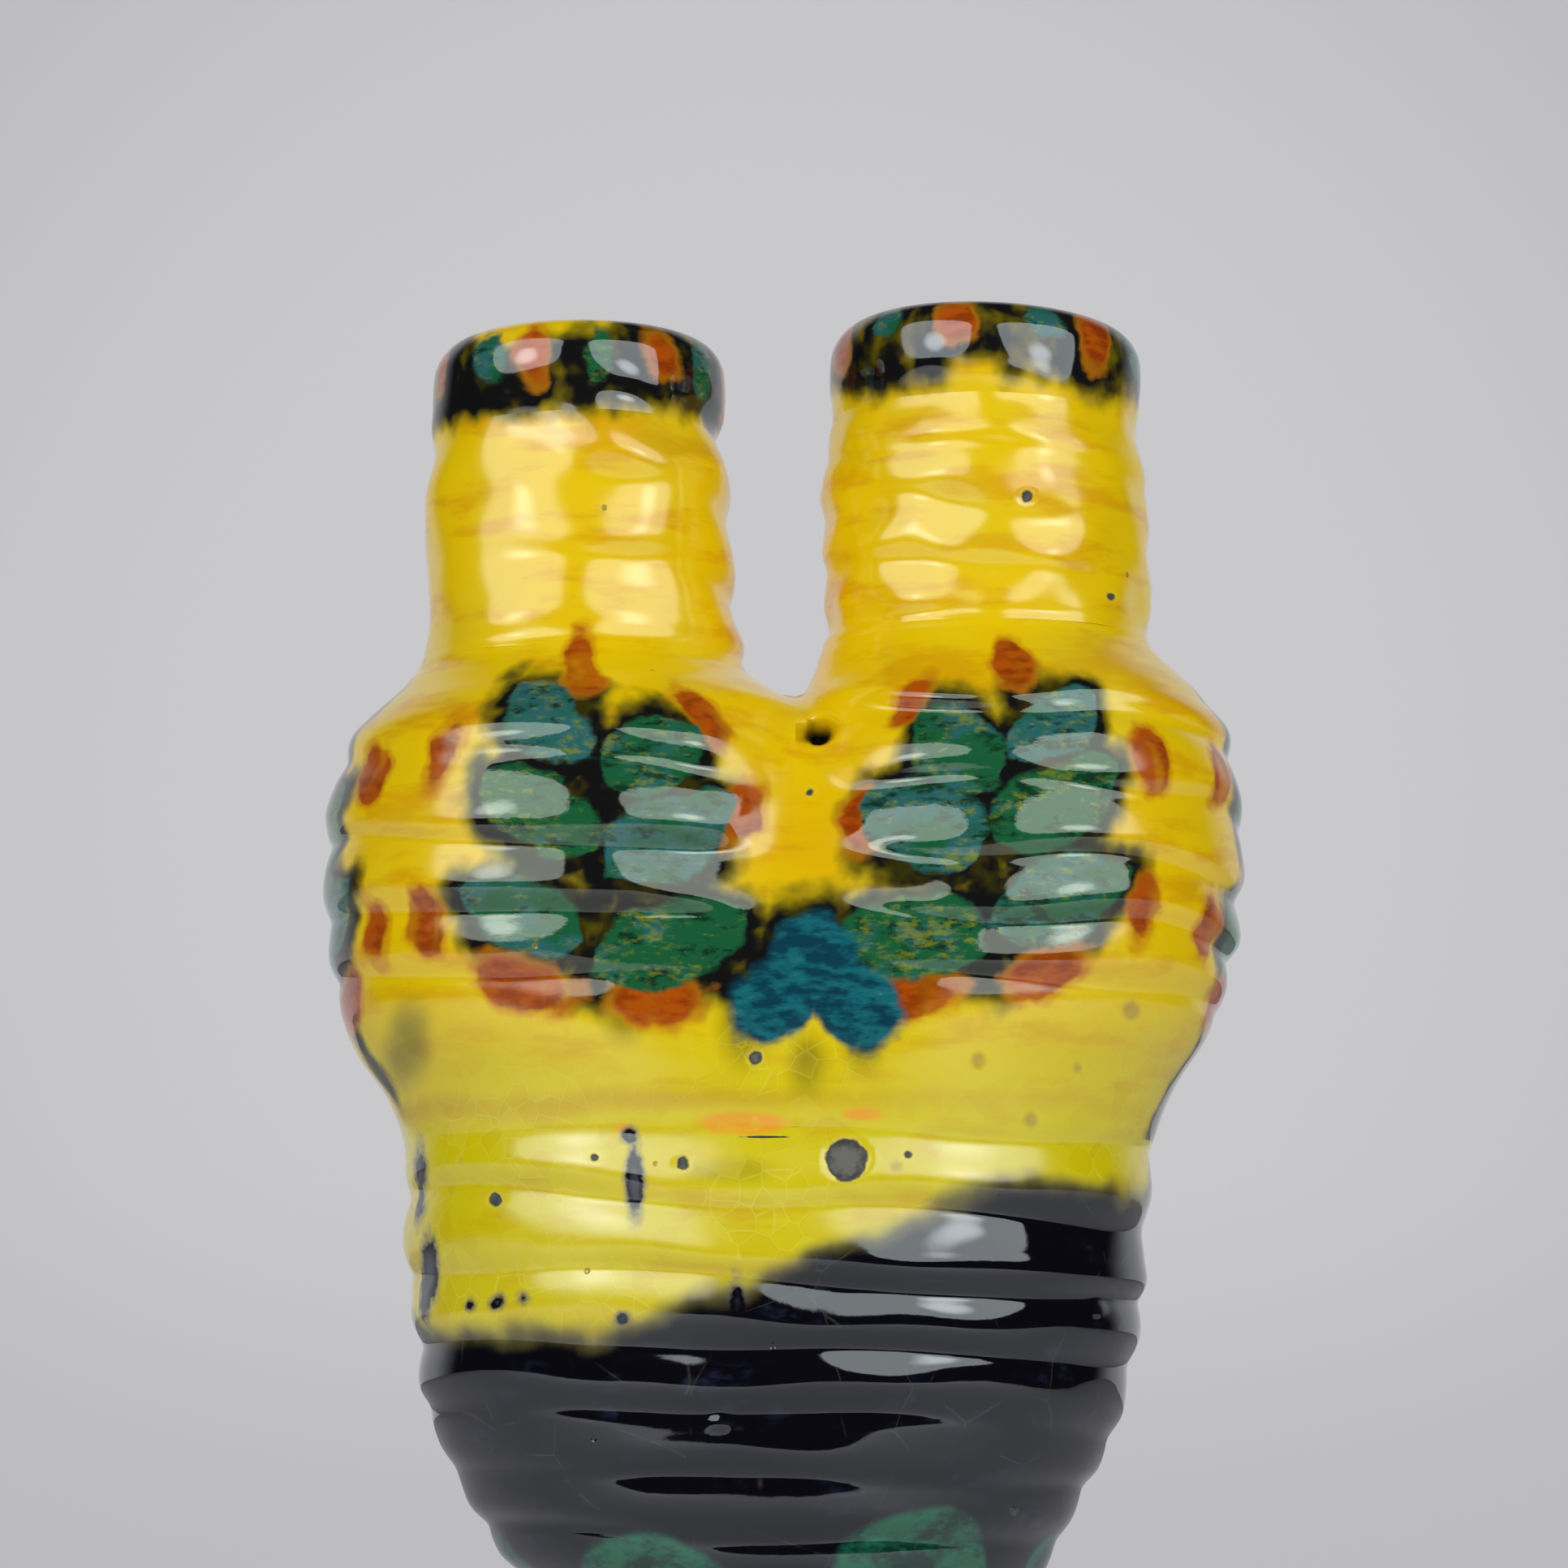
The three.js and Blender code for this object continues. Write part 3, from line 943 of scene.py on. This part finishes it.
glaze = {
    "golden": (0.81, 0.55, 0.001, 1),
    "orange": (0.71, 0.37, 0.001, 1),
    "lemon": (0.66, 0.56, 0.002, 1),
    "ochre": (0.60, 0.40, 0.006, 1),
    "pale": (0.72, 0.60, 0.030, 1),
    "craze": (0.78, 0.70, 0.10, 1),
    "smear": (0.85, 0.34, 0.02, 1),
    "olive": (0.19, 0.15, 0.004, 1),
    "oliveDeep": (0.035, 0.030, 0.003, 1),
    "outline": (0.006, 0.006, 0.006, 1),
    "dip": (0.0028, 0.0024, 0.0045, 1),
    "dipFringe": (0.10, 0.092, 0.045, 1),
    "runFringe": (0.17, 0.165, 0.13, 1),
    "dipCloud": (0.011, 0.015, 0.032, 1),
    "dipCraze": (0.034, 0.028, 0.024, 1),
    "rust": (0.43, 0.080, 0.003, 1),
    "rustDeep": (0.27, 0.036, 0.002, 1),
    "rustThin": (0.58, 0.21, 0.004, 1),
    "green": (0.010, 0.105, 0.036, 1),
    "greenDeep": (0.005, 0.030, 0.014, 1),
    "teal": (0.024, 0.125, 0.120, 1),
    "sunk": (0.014, 0.135, 0.072, 1),
    "sunkDeep": (0.004, 0.030, 0.018, 1),
    "runHighlight": (0.045, 0.050, 0.058, 1),
    "fleck": (0.20, 0.24, 0.012, 1),
    "blue": (0.009, 0.130, 0.150, 1),
    "blueDeep": (0.004, 0.045, 0.070, 1),
    "blueFleck": (0.06, 0.26, 0.13, 1),
    "grey": (0.105, 0.099, 0.076, 1),
    "greyDeep": (0.02, 0.02, 0.014, 1),
    "inside": (0.30, 0.20, 0.02, 1),
    "stain": (0.22, 0.12, 0.05, 1),
    "ior": 1.68,
}
glazeTints = {"yellowGlaze": (0.93, 1.0, 0.84, 1), "darkGlaze": (0.93, 1.0, 1.0, 1)}
shine = {"golden": 0.17, "lemon": 0.2, "dark": 0.035, "pit": 0.45}
# noises in the glaze: scale, detail, roughness and, for some, how far they are squeezed upwards
noises = {
    "broad": (45, 2, 0.5),
    "streak": (70, 4, 0.6, 4),
    "fine": (2200, 3, 0.6),
    "grain": (900, 3, 0.6),
    "soft": (120, 1, 0.4),
    "blotch": (260, 2, 0.5),
    "drip": (300, 1, 0.4, 0.3),
    "brush": (260, 4, 0.6, 2.6),
    "wash": (120, 3, 0.6, 1.6),
    "streaks": (520, 5, 0.65, 2.2),
    "skin": (140, 2, 0.5),
}
# the yellow ground: lemon below these heights, an ochre fold that is stronger on the left, an orange valley
# that is partly the glaze's own spots and partly painted shade
ground = {
    "lemonFrom": (112, 78),
    "foldHeight": 85.5,
    "foldStray": 5,
    "foldEdge": (2.4, 0.2),
    "foldShare": (0.35, 0.6),
    "foldLeft": (30 * mm, -20 * mm),
    "valley": (3.5, 121, 0),
    "valleyFade": (12, 1),
}
crazing = {"scale": 300, "line": 0.04}
hairCracks = {"scale": 75, "line": 0.010}
pinholes = {"scale": 120, "chance": (0.80, 0.82), "edge": (0.065, 0.035)}
# how far each stands out of the glaze in the bump
bumps = {"skin": 0.026, "blotch": 0.009, "grain": 0.003, "paint": 0.022, "pin": 0.10, "clay": 0.10}


def noiseOf(place, name):
    scale, detail, rough, *squeeze = noises[name]
    for upwards in squeeze:
        place = place.stretched((1, 1, upwards))
    return place.noise(scale, detail, rough)


def nearestSpot(place, spots, tall=1.0):
    # gap in millimetres to the nearest of these spots on the front, each stretched upwards
    flat = place.vector("MULTIPLY", (1, 0, 1 / tall))
    behind = place.part(1).rise(2 * frontOf * mm, frontOf * mm)
    nearest = behind * farOff + farOff
    for spotX, spotZ, radius in (spot[:3] for spot in spots):
        away = flat.vector("DISTANCE", (spotX * mm, 0, spotZ * mm / tall), 1)
        nearest = nearest.least(away * (1 / mm) - radius)
    return nearest + behind * farOff


def yellowGround(place, low, layers):
    # golden above, lemon below, orange where it runs thin, ochre where it pools in the grooves
    broad = noiseOf(place, "broad")
    streak = noiseOf(place, "streak")
    colour = low.between(glaze["golden"], glaze["lemon"])
    thin = (streak + 0.09 * layers["ridge"]).rise(0.50, 0.70)
    colour = colour.under(thin * (0.85 - 0.75 * low), glaze["orange"])
    pooled = (streak - 0.10 * layers["ridge"]).rise(0.52, 0.70) * low
    colour = colour.under(pooled * 0.55, glaze["ochre"])
    leftwards = place.part(0).rise(*ground["foldLeft"])
    fold = abs(heightOf(place) - ground["foldHeight"] + ground["foldStray"] * (broad - 0.5))
    fold = fold.rise(*ground["foldEdge"])
    least, more = ground["foldShare"]
    colour = colour.under(fold * (least + more * leftwards), glaze["ochre"])
    colour = colour.under(broad.rise(0.48, 0.72) * 0.35, glaze["pale"])
    smeared = layers["smear"] + 1.6 * (streak - 0.5)
    colour = colour.under(smeared.rise(0.4, -0.4) * 0.85, glaze["smear"])
    cloud = nearestSpot(place, clouds["flat"], clouds["flatTall"]) + 5 * (streak - 0.5)
    colour = colour.under(cloud.rise(2.5, -4.5) * 0.4, glaze["olive"])
    cloud = nearestSpot(place, clouds["upright"], clouds["uprightTall"]) + 5 * (broad - 0.5)
    colour = colour.under(cloud.rise(2.0, -2.0) * 0.8, glaze["olive"])
    # the valley between the bulbs turns orange: partly the glaze's orange spots, partly painted shade in
    # the crease
    valley = nearestSpot(place, (ground["valley"],)) + 12 * (broad - 0.5)
    colour = colour.under(valley.rise(*ground["valleyFade"]) * 0.5, glaze["orange"])
    # crazed into small cells, each a little paler or deeper than the next
    tone = place.cells(crazing["scale"], "F1", 1).red()
    colour = colour.under(tone.rise(0.6, 1.0) * low * 0.3, glaze["pale"])
    colour = colour.under(tone.rise(0.4, 0.0) * low * 0.25, glaze["ochre"])
    craze = place.cells(crazing["scale"], "DISTANCE_TO_EDGE").rise(crazing["line"], 0.0)
    return colour.under(craze * broad.rise(0.38, 0.55) * low * 0.4, glaze["craze"])


def makeGlaze(name):
    material, place = newMaterial(name)
    height = heightOf(place)
    low = height.rise(*ground["lemonFrom"])
    layers = {layer: layerOf(place, layer) for layer in paintLayers}
    fine = noiseOf(place, "fine")
    grain = noiseOf(place, "grain")
    soft = noiseOf(place, "soft")
    blotch = noiseOf(place, "blotch")
    drip = noiseOf(place, "drip")
    brush = noiseOf(place, "brush")
    wash = noiseOf(place, "wash")
    streaks = noiseOf(place, "streaks")
    ragged = 4.0 * (soft - 0.5) + 2.6 * (blotch - 0.5)
    colour = yellowGround(place, low, layers)

    # dark outline that bleeds into the yellow and runs down a little
    bleed = layers["halo"] - 1.0 + 1.4 * ragged + 2.6 * (drip - 0.5)
    colour = colour.under(bleed.rise(4.0, 1.0) * 0.9, glaze["olive"])
    painted = bleed.rise(2.2, -0.2)
    inked = (blotch + 0.6 * (soft - 0.5)).rise(0.50, 0.70).between(glaze["outline"], glaze["oliveDeep"])
    colour = colour.under(painted, inked)

    # rust marks, brushed thin in places
    rustEdge = layers["rust"] + ragged + 1.6 * (brush - 0.5)
    rust = (brush + 0.8 * (wash - 0.5)).rise(0.38, 0.66).between(glaze["rust"], glaze["rustDeep"])
    colour = colour.under((rustEdge + 2.0 * (drip - 0.5)).rise(1.5, 0.3) * 0.6, glaze["rustThin"])
    colour = colour.under(rustEdge.rise(0.5, -0.5) * (0.97 - 0.4 * drip.rise(0.5, 0.75)), rust)

    # green leaves, brushed from green to teal, with yellow flecks and dark gaps
    leafEdge = layers["leaf"] + 1.2 * ragged + 2.0 * (brush - 0.5)
    leaf = (layers["leafShade"] + 3.4 * (wash - 0.5)).rise(0.3, 1.0).between(glaze["green"], glaze["teal"])
    leaf = leaf.under((brush + 0.5 * (blotch - 0.5)).rise(0.48, 0.34) * 0.9, glaze["greenDeep"])
    leaf = leaf.under((streaks + 0.7 * (wash - 0.5)).rise(0.51, 0.74) * 0.75, glaze["fleck"])
    colour = colour.under(leafEdge.rise(0.5, -0.6), leaf)

    # blue petals
    blueEdge = layers["blue"] + ragged + 1.0 * (brush - 0.5)
    blue = (brush + 0.5 * (wash - 0.5)).rise(0.38, 0.60).between(glaze["blueDeep"], glaze["blue"])
    blue = blue.under((brush + 0.6 * (wash - 0.5)).rise(0.60, 0.74) * 0.6, glaze["blueFleck"])
    colour = colour.under(blueEdge.rise(0.9, -0.7), blue)

    # pinholes scattered through the painting
    lucky = place.cells(pinholes["scale"], "F1", 1).red().rise(*pinholes["chance"])
    pin = place.cells(pinholes["scale"], "F1").rise(*pinholes["edge"]) * lucky
    colour = colour.under(pin * 0.8, glaze["olive"])

    # dark dip with a feathered upper edge, its runs, and the green dabs that sink into it
    dipGap = layers["dip"] + 5.0 * (soft - 0.5) + 1.4 * (blotch - 0.5)
    dark = (wash.rise(0.52, 0.70) * brush.rise(0.45, 0.62)).between(glaze["dip"], glaze["dipCloud"])
    hair = place.cells(hairCracks["scale"], "DISTANCE_TO_EDGE").rise(hairCracks["line"], 0.0)
    dark = dark.under(hair * wash.rise(0.45, 0.6), glaze["dipCraze"])
    colour = colour.under(dipGap.rise(3.0, -0.6) * 0.9, glaze["dipFringe"])
    runRagged = 1.2 * (blotch - 0.5) + 1.0 * (grain - 0.5)
    longRuns = nearestSpot(place, runs["long"], runs["tall"])
    crack = nearestSpot(place, runs["crack"], runs["crackTall"]) + 3 * (grain - 0.5)
    runEdge = (longRuns.least(nearestSpot(place, runs["round"])) + runRagged).least(crack)
    colour = colour.under(runEdge.rise(0.9, 0.0) * 0.7, glaze["runFringe"])
    dipped = dipGap.rise(1.4, -2.2)
    # painted highlight: the middle of each dark run is grey, standing in for light on the raised drop
    dark = dark.under(runEdge.rise(-0.3, -0.9) * (1 - dipped), glaze["runHighlight"])
    dipped = dipped + runEdge.rise(0.25, -0.25) * (1 - dipped)
    colour = colour.under(dipped, dark)
    sunkEdge = layers["sunk"] + 2.0 * (soft - 0.5) + 1.5 * (wash - 0.5)
    sunkRim = layers["sunk"].rise(-6.0, -1.5)
    deep = (wash + 0.6 * (streaks - 0.5) + 0.11 * (sunkRim - 0.5)).rise(0.35, 0.65)
    deep = deep.between(glaze["sunkDeep"], glaze["sunk"])
    colour = colour.under(sunkEdge.rise(0.5, -0.9) * 0.95, deep)

    # stains, pits down to the clay with a pale edge, painted shade in the air hole, and the inside
    stained = nearestSpot(place, flaws["stains"]) + 0.8 * (grain - 0.5)
    colour = colour.under(stained.rise(0.5, -0.6) * 0.45, glaze["stain"])
    pitGap = nearestSpot(place, flaws["pits"]) + 1.3 * (blotch - 0.5) + 0.7 * (grain - 0.5)
    colour = colour.under(pitGap.rise(0.9, 0.3) * 0.3 * (1 - dipped), glaze["pale"])
    clay = (pitGap + 4.0 * (grain - 0.5) + 1.5 * (fine - 0.5)).rise(0.1, -1.8)
    clay = clay.between(glaze["greyDeep"], glaze["grey"])
    pitted = pitGap.rise(0.2, -0.15)
    colour = colour.under(pitted, clay)
    # painted shade: the air hole's inside turns near black with depth
    colour = colour.under(layers["hole"].rise(0.30, 0.85), glaze["outline"])
    colour = colour.under(layers["inner"].rise(0.2, 0.8), glaze["inside"])

    skin = bumps["skin"] * (noiseOf(place, "skin") - 0.5)
    skin = skin + bumps["blotch"] * (blotch - 0.5) + bumps["grain"] * (grain - 0.5)
    thick = bumps["paint"] * leafEdge.rise(1.0, -1.2) * brush
    relief = skin + thick - bumps["pin"] * pin + bumps["clay"] * fine * pitted
    normal = place.node("ShaderNodeBump", {}, {"Height": relief, "Distance": mm, "Strength": 1.0})
    yellowShine = shine["golden"] + (shine["lemon"] - shine["golden"]) * low
    roughness = yellowShine - (yellowShine - shine["dark"]) * painted
    roughness = roughness - (roughness - shine["dark"]) * dipped + shine["pit"] * pitted
    finishMaterial(place, {
        "Base Color": colour,
        "Roughness": roughness,
        "Normal": normal,
        "IOR": glaze["ior"],
        "Specular Tint": glazeTints[name],
    })
    return material


bareClay = {
    "pale": (0.42, 0.33, 0.23, 1),
    "warm": (0.30, 0.20, 0.12, 1),
    "roughness": 0.85,
    # noises as scale, detail and roughness, and their heights in the bump
    "grain": (1500, 5, 0.65),
    "broad": (90, 3, 0.5),
    "turned": (300, 2, 0.5),
    "turnedStretch": (0.2, 0.2, 6),
    "grainBump": 0.12,
    "turnedBump": 0.1,
}


def makeBareClay():
    material, place = newMaterial("bareClay")
    grain = place.noise(*bareClay["grain"])
    broad = place.noise(*bareClay["broad"])
    turned = place.stretched(bareClay["turnedStretch"]).noise(*bareClay["turned"])
    colour = (broad.rise(0.4, 0.7) * 0.6).between(bareClay["pale"], bareClay["warm"])
    colour = colour.under(grain.rise(0.55, 0.75) * 0.4, bareClay["warm"])
    relief = bareClay["grainBump"] * grain + bareClay["turnedBump"] * turned
    normal = place.node("ShaderNodeBump", {}, {"Height": relief, "Distance": mm, "Strength": 1.0})
    finishMaterial(place, {"Base Color": colour, "Roughness": bareClay["roughness"], "Normal": normal})
    return material


yellowGlaze = makeGlaze("yellowGlaze")
darkGlaze = makeGlaze("darkGlaze")
clayMaterial = makeBareClay()
print("materials made")


creaseAngle = math.radians(42)


def addPiece(name, mesh, node, material):
    mesh.materials.append(material)
    mesh.shade_smooth()
    mesh.set_sharp_from_angle(angle=creaseAngle)
    piece = bpy.data.objects.new(name, mesh)
    scene.collection.objects.link(piece)
    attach(piece, "root")
    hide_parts(node)
    print(name, "made with", len(mesh.polygons), "faces")


ringSteps = {"body": 320, "shoulder": 288, "neck": 224, "foot": 192, "floor": 128, "table": 96}
rimInside = (0.7, 1.0)  # depths in the wall between which the rim's paint gives way to the inside


def shapeWall(mesh, draw):
    # draws a spun ring to its shape with its flaws, and gives its paint and where its points are
    angle, depth, height = ringCoordinates(mesh)
    x, y, z, wave = draw(angle, depth, height)
    y, hole = pressFlaws(x, y, z)
    writePoints(mesh, x, y, z)
    layers = blankPaint(len(x))
    layers.update({"ridge": wave, "hole": hole, "inner": depth / pot["wall"]})
    return layers, (x, y, z), (angle, height)


def makeBodyWall():
    mesh = spinProfile("bodyWall", wallProfile(footTop, seam), ringSteps["body"], shellRadius)
    layers, points, _ = shapeWall(mesh, drawBody)
    paintBody(layers, *points)
    paintSmears(layers, *points)
    writePaint(mesh, layers)
    addPiece("bodyWall", mesh, "body_wall", darkGlaze)


def makeShoulder(side, name, node):
    mesh = spinProfile(name, wallProfile(seam, joints[side]), ringSteps["shoulder"], shellRadius)
    layers, points, _ = shapeWall(mesh, lambda *ring: drawShoulder(side, *ring))
    paintSprigs(layers, side, *points)
    paintBlue(layers, *points)
    paintDip(layers, *points)
    paintSmears(layers, *points)
    writePaint(mesh, layers)
    addPiece(name, mesh, node, yellowGlaze)


def makeNeck(side, name, node):
    rimBase = necks[side]["top"] - rimHeight
    mesh = spinProfile(name, wallProfile(joints[side], rimBase), ringSteps["neck"], shellRadius)
    layers, points, turned = shapeWall(mesh, lambda *ring: drawNeck(side, *ring))
    paintRim(layers, side, *turned)
    paintSprigs(layers, side, *points)
    writePaint(mesh, layers)
    addPiece(name, mesh, node, yellowGlaze)


def makeRim(side, name, node):
    top = necks[side]["top"]
    mesh = spinProfile(name, rimProfile(top - rimHeight, top), ringSteps["neck"], shellRadius)
    layers, _, turned = shapeWall(mesh, lambda *ring: drawNeck(side, *ring))
    layers["inner"] = smoothStep(*rimInside, layers["inner"])
    paintRim(layers, side, *turned)
    writePaint(mesh, layers)
    addPiece(name, mesh, node, darkGlaze)


foot = {"outer": 29.5, "inner": 20.0, "waist": 28.4, "bevel": 1.2, "belly": 0.4}


def makeFootRing():
    bevel = foot["bevel"]
    profile = [
        (foot["inner"], footTop),
        (foot["inner"], bevel),
        (foot["inner"] + bevel, 0),
        (foot["outer"] - bevel, 0),
        (foot["outer"], bevel),
        (foot["outer"], foot["belly"] * footTop),
        (foot["waist"], footTop),
    ]
    mesh = spinProfile("footRing", [(-radius, z) for radius, z in profile], ringSteps["foot"], 0.0)
    writePoints(mesh, *readPoints(mesh))
    addPiece("footRing", mesh, "foot_ring", clayMaterial)


def makeFloorDisc():
    low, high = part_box("floor_disc")
    bm = bmesh.new()
    bmesh.ops.create_circle(bm, cap_ends=True, cap_tris=False, segments=ringSteps["floor"], radius=high.x)
    bmesh.ops.translate(bm, verts=bm.verts, vec=(0, 0, low.z))
    made = bmesh.ops.extrude_face_region(bm, geom=bm.faces[:])
    raised = [part for part in made["geom"] if isinstance(part, bmesh.types.BMVert)]
    bmesh.ops.translate(bm, verts=raised, vec=(0, 0, high.z - low.z))
    bmesh.ops.recalc_face_normals(bm, faces=bm.faces)
    mesh = bpy.data.meshes.new("floorDisc")
    bm.to_mesh(mesh)
    bm.free()
    layers = blankPaint(len(mesh.vertices))
    layers["dip"] = np.full(len(mesh.vertices), -farOff)
    writePaint(mesh, layers)
    addPiece("floorDisc", mesh, "floor_disc", darkGlaze)


makeFootRing()
makeFloorDisc()
makeBodyWall()
makeShoulder(-1, "leftShoulder", "left_shoulder")
makeShoulder(1, "rightShoulder", "right_shoulder")
makeNeck(-1, "leftNeck", "left_neck")
makeNeck(1, "rightNeck", "right_neck")
makeRim(-1, "leftRim", "left_rim")
makeRim(1, "rightRim", "right_rim")


# studio: a pale table, a grey room behind, darkness in front, and two softboxes beside the camera
studio = {
    "tableRadius": 1.09,
    "table": (0.95, 0.925, 0.965, 1),
    "tableRoughness": 0.7,
    "backdrop": (0.585, 0.578, 0.598, 1),
    "backdropShade": (0.50, 0.495, 0.515, 1),
    "roomBehind": (0.66, 0.66, 0.69, 1),
    "roomFront": (0.012, 0.012, 0.014, 1),
    "roomTurn": (0.42, 0.74),
    "backdropFall": (0.972, 0.996),
    "lowFall": (0.06, -0.03),
    "lowShare": 0.9,
    "boxBearings": {"left": -41, "right": 41},
    "boxLift": 25,
    "boxDistance": 1.0,
    "boxSize": (1.04, 0.7),
    "boxColour": (0.97, 0.985, 1.03, 1),
    "boxRadiance": 2.85,
    "hotRadiance": 5.0,
    "hotReach": 0.13,
    "hotLevel": -0.45,
    "boxEdge": (1.0, 0.86),
    "target": (0, 0, 0.11),
}


def makeTable():
    bm = bmesh.new()
    radius = studio["tableRadius"]
    bmesh.ops.create_circle(bm, cap_ends=True, cap_tris=False, segments=ringSteps["table"], radius=radius)
    mesh = bpy.data.meshes.new("tableTop")
    bm.to_mesh(mesh)
    bm.free()
    material, place = newMaterial("paleTable")
    finishMaterial(place, {"Base Color": studio["table"], "Roughness": studio["tableRoughness"]})
    mesh.materials.append(material)
    table = bpy.data.objects.new("tableTop", mesh)
    scene.collection.objects.link(table)


def makeSoftbox(name, bearing):
    turn = math.radians(bearing)
    lift = math.radians(studio["boxLift"])
    away = Vector((math.sin(turn) * math.cos(lift), -math.cos(turn) * math.cos(lift), math.sin(lift)))
    lamp = bpy.data.lights.new(name, "AREA")
    lamp.shape = "RECTANGLE"
    lamp.size, lamp.size_y = studio["boxSize"]
    lamp.energy = math.pi * lamp.size * lamp.size_y  # a radiance of 1 where the strength is 1
    lamp.use_nodes = True
    tree = lamp.node_tree
    tree.nodes.clear()
    face = Wire(tree, tree.nodes.new("ShaderNodeNewGeometry").outputs["Parametric"])
    sides = [face.part(i) * 2 - 1 for i in (0, 1)]
    squares = [side * side for side in sides]
    cubes = [square * abs(side) for square, side in zip(squares, sides)]
    edge = (cubes[0] + cubes[1]).rise(*studio["boxEdge"])
    above = sides[1] - studio["hotLevel"]
    hot = (squares[0] + above * above).rise(studio["hotReach"], 0.0)
    glow = (studio["boxRadiance"] + studio["hotRadiance"] * hot) * edge
    light = face.node("ShaderNodeEmission", {}, {"Color": studio["boxColour"], "Strength": glow})
    face.node("ShaderNodeOutputLight", {}, {"Surface": light})
    box = bpy.data.objects.new(name, lamp)
    box.location = Vector(studio["target"]) + away * studio["boxDistance"]
    box.rotation_euler = away.to_track_quat("Z", "Y").to_euler()
    box.visible_camera = False
    scene.collection.objects.link(box)


def makeRoom():
    world = bpy.data.worlds.new("greyRoom")
    world.use_nodes = True
    tree = world.node_tree
    tree.nodes.clear()
    way = Wire(tree, tree.nodes.new("ShaderNodeTexCoord").outputs["Generated"])
    behind = way.part(1).rise(*studio["roomTurn"])
    tilt = math.radians(camera["tiltUp"])
    ahead = (0, math.cos(tilt), math.sin(tilt))
    # painted shade: the backdrop the camera sees is darker away from the middle of the view and low down
    straight = way.vector("DOT_PRODUCT", ahead, 1).rise(*studio["backdropFall"])
    wall = straight.between(studio["backdropShade"], studio["backdrop"])
    lowDown = way.part(2).rise(*studio["lowFall"])
    wall = wall.under(lowDown * studio["lowShare"], studio["backdropShade"])
    seen = way.node("ShaderNodeLightPath", {}, {}, 0)
    colour = behind.between(studio["roomFront"], studio["roomBehind"]).under(seen, wall)
    light = way.node("ShaderNodeBackground", {}, {"Color": colour, "Strength": 1.0})
    way.node("ShaderNodeOutputWorld", {}, {"Surface": light})
    scene.world = world


makeTable()
makeRoom()
for side, bearing in studio["boxBearings"].items():
    makeSoftbox(f"{side}Softbox", bearing)
print("studio lit")
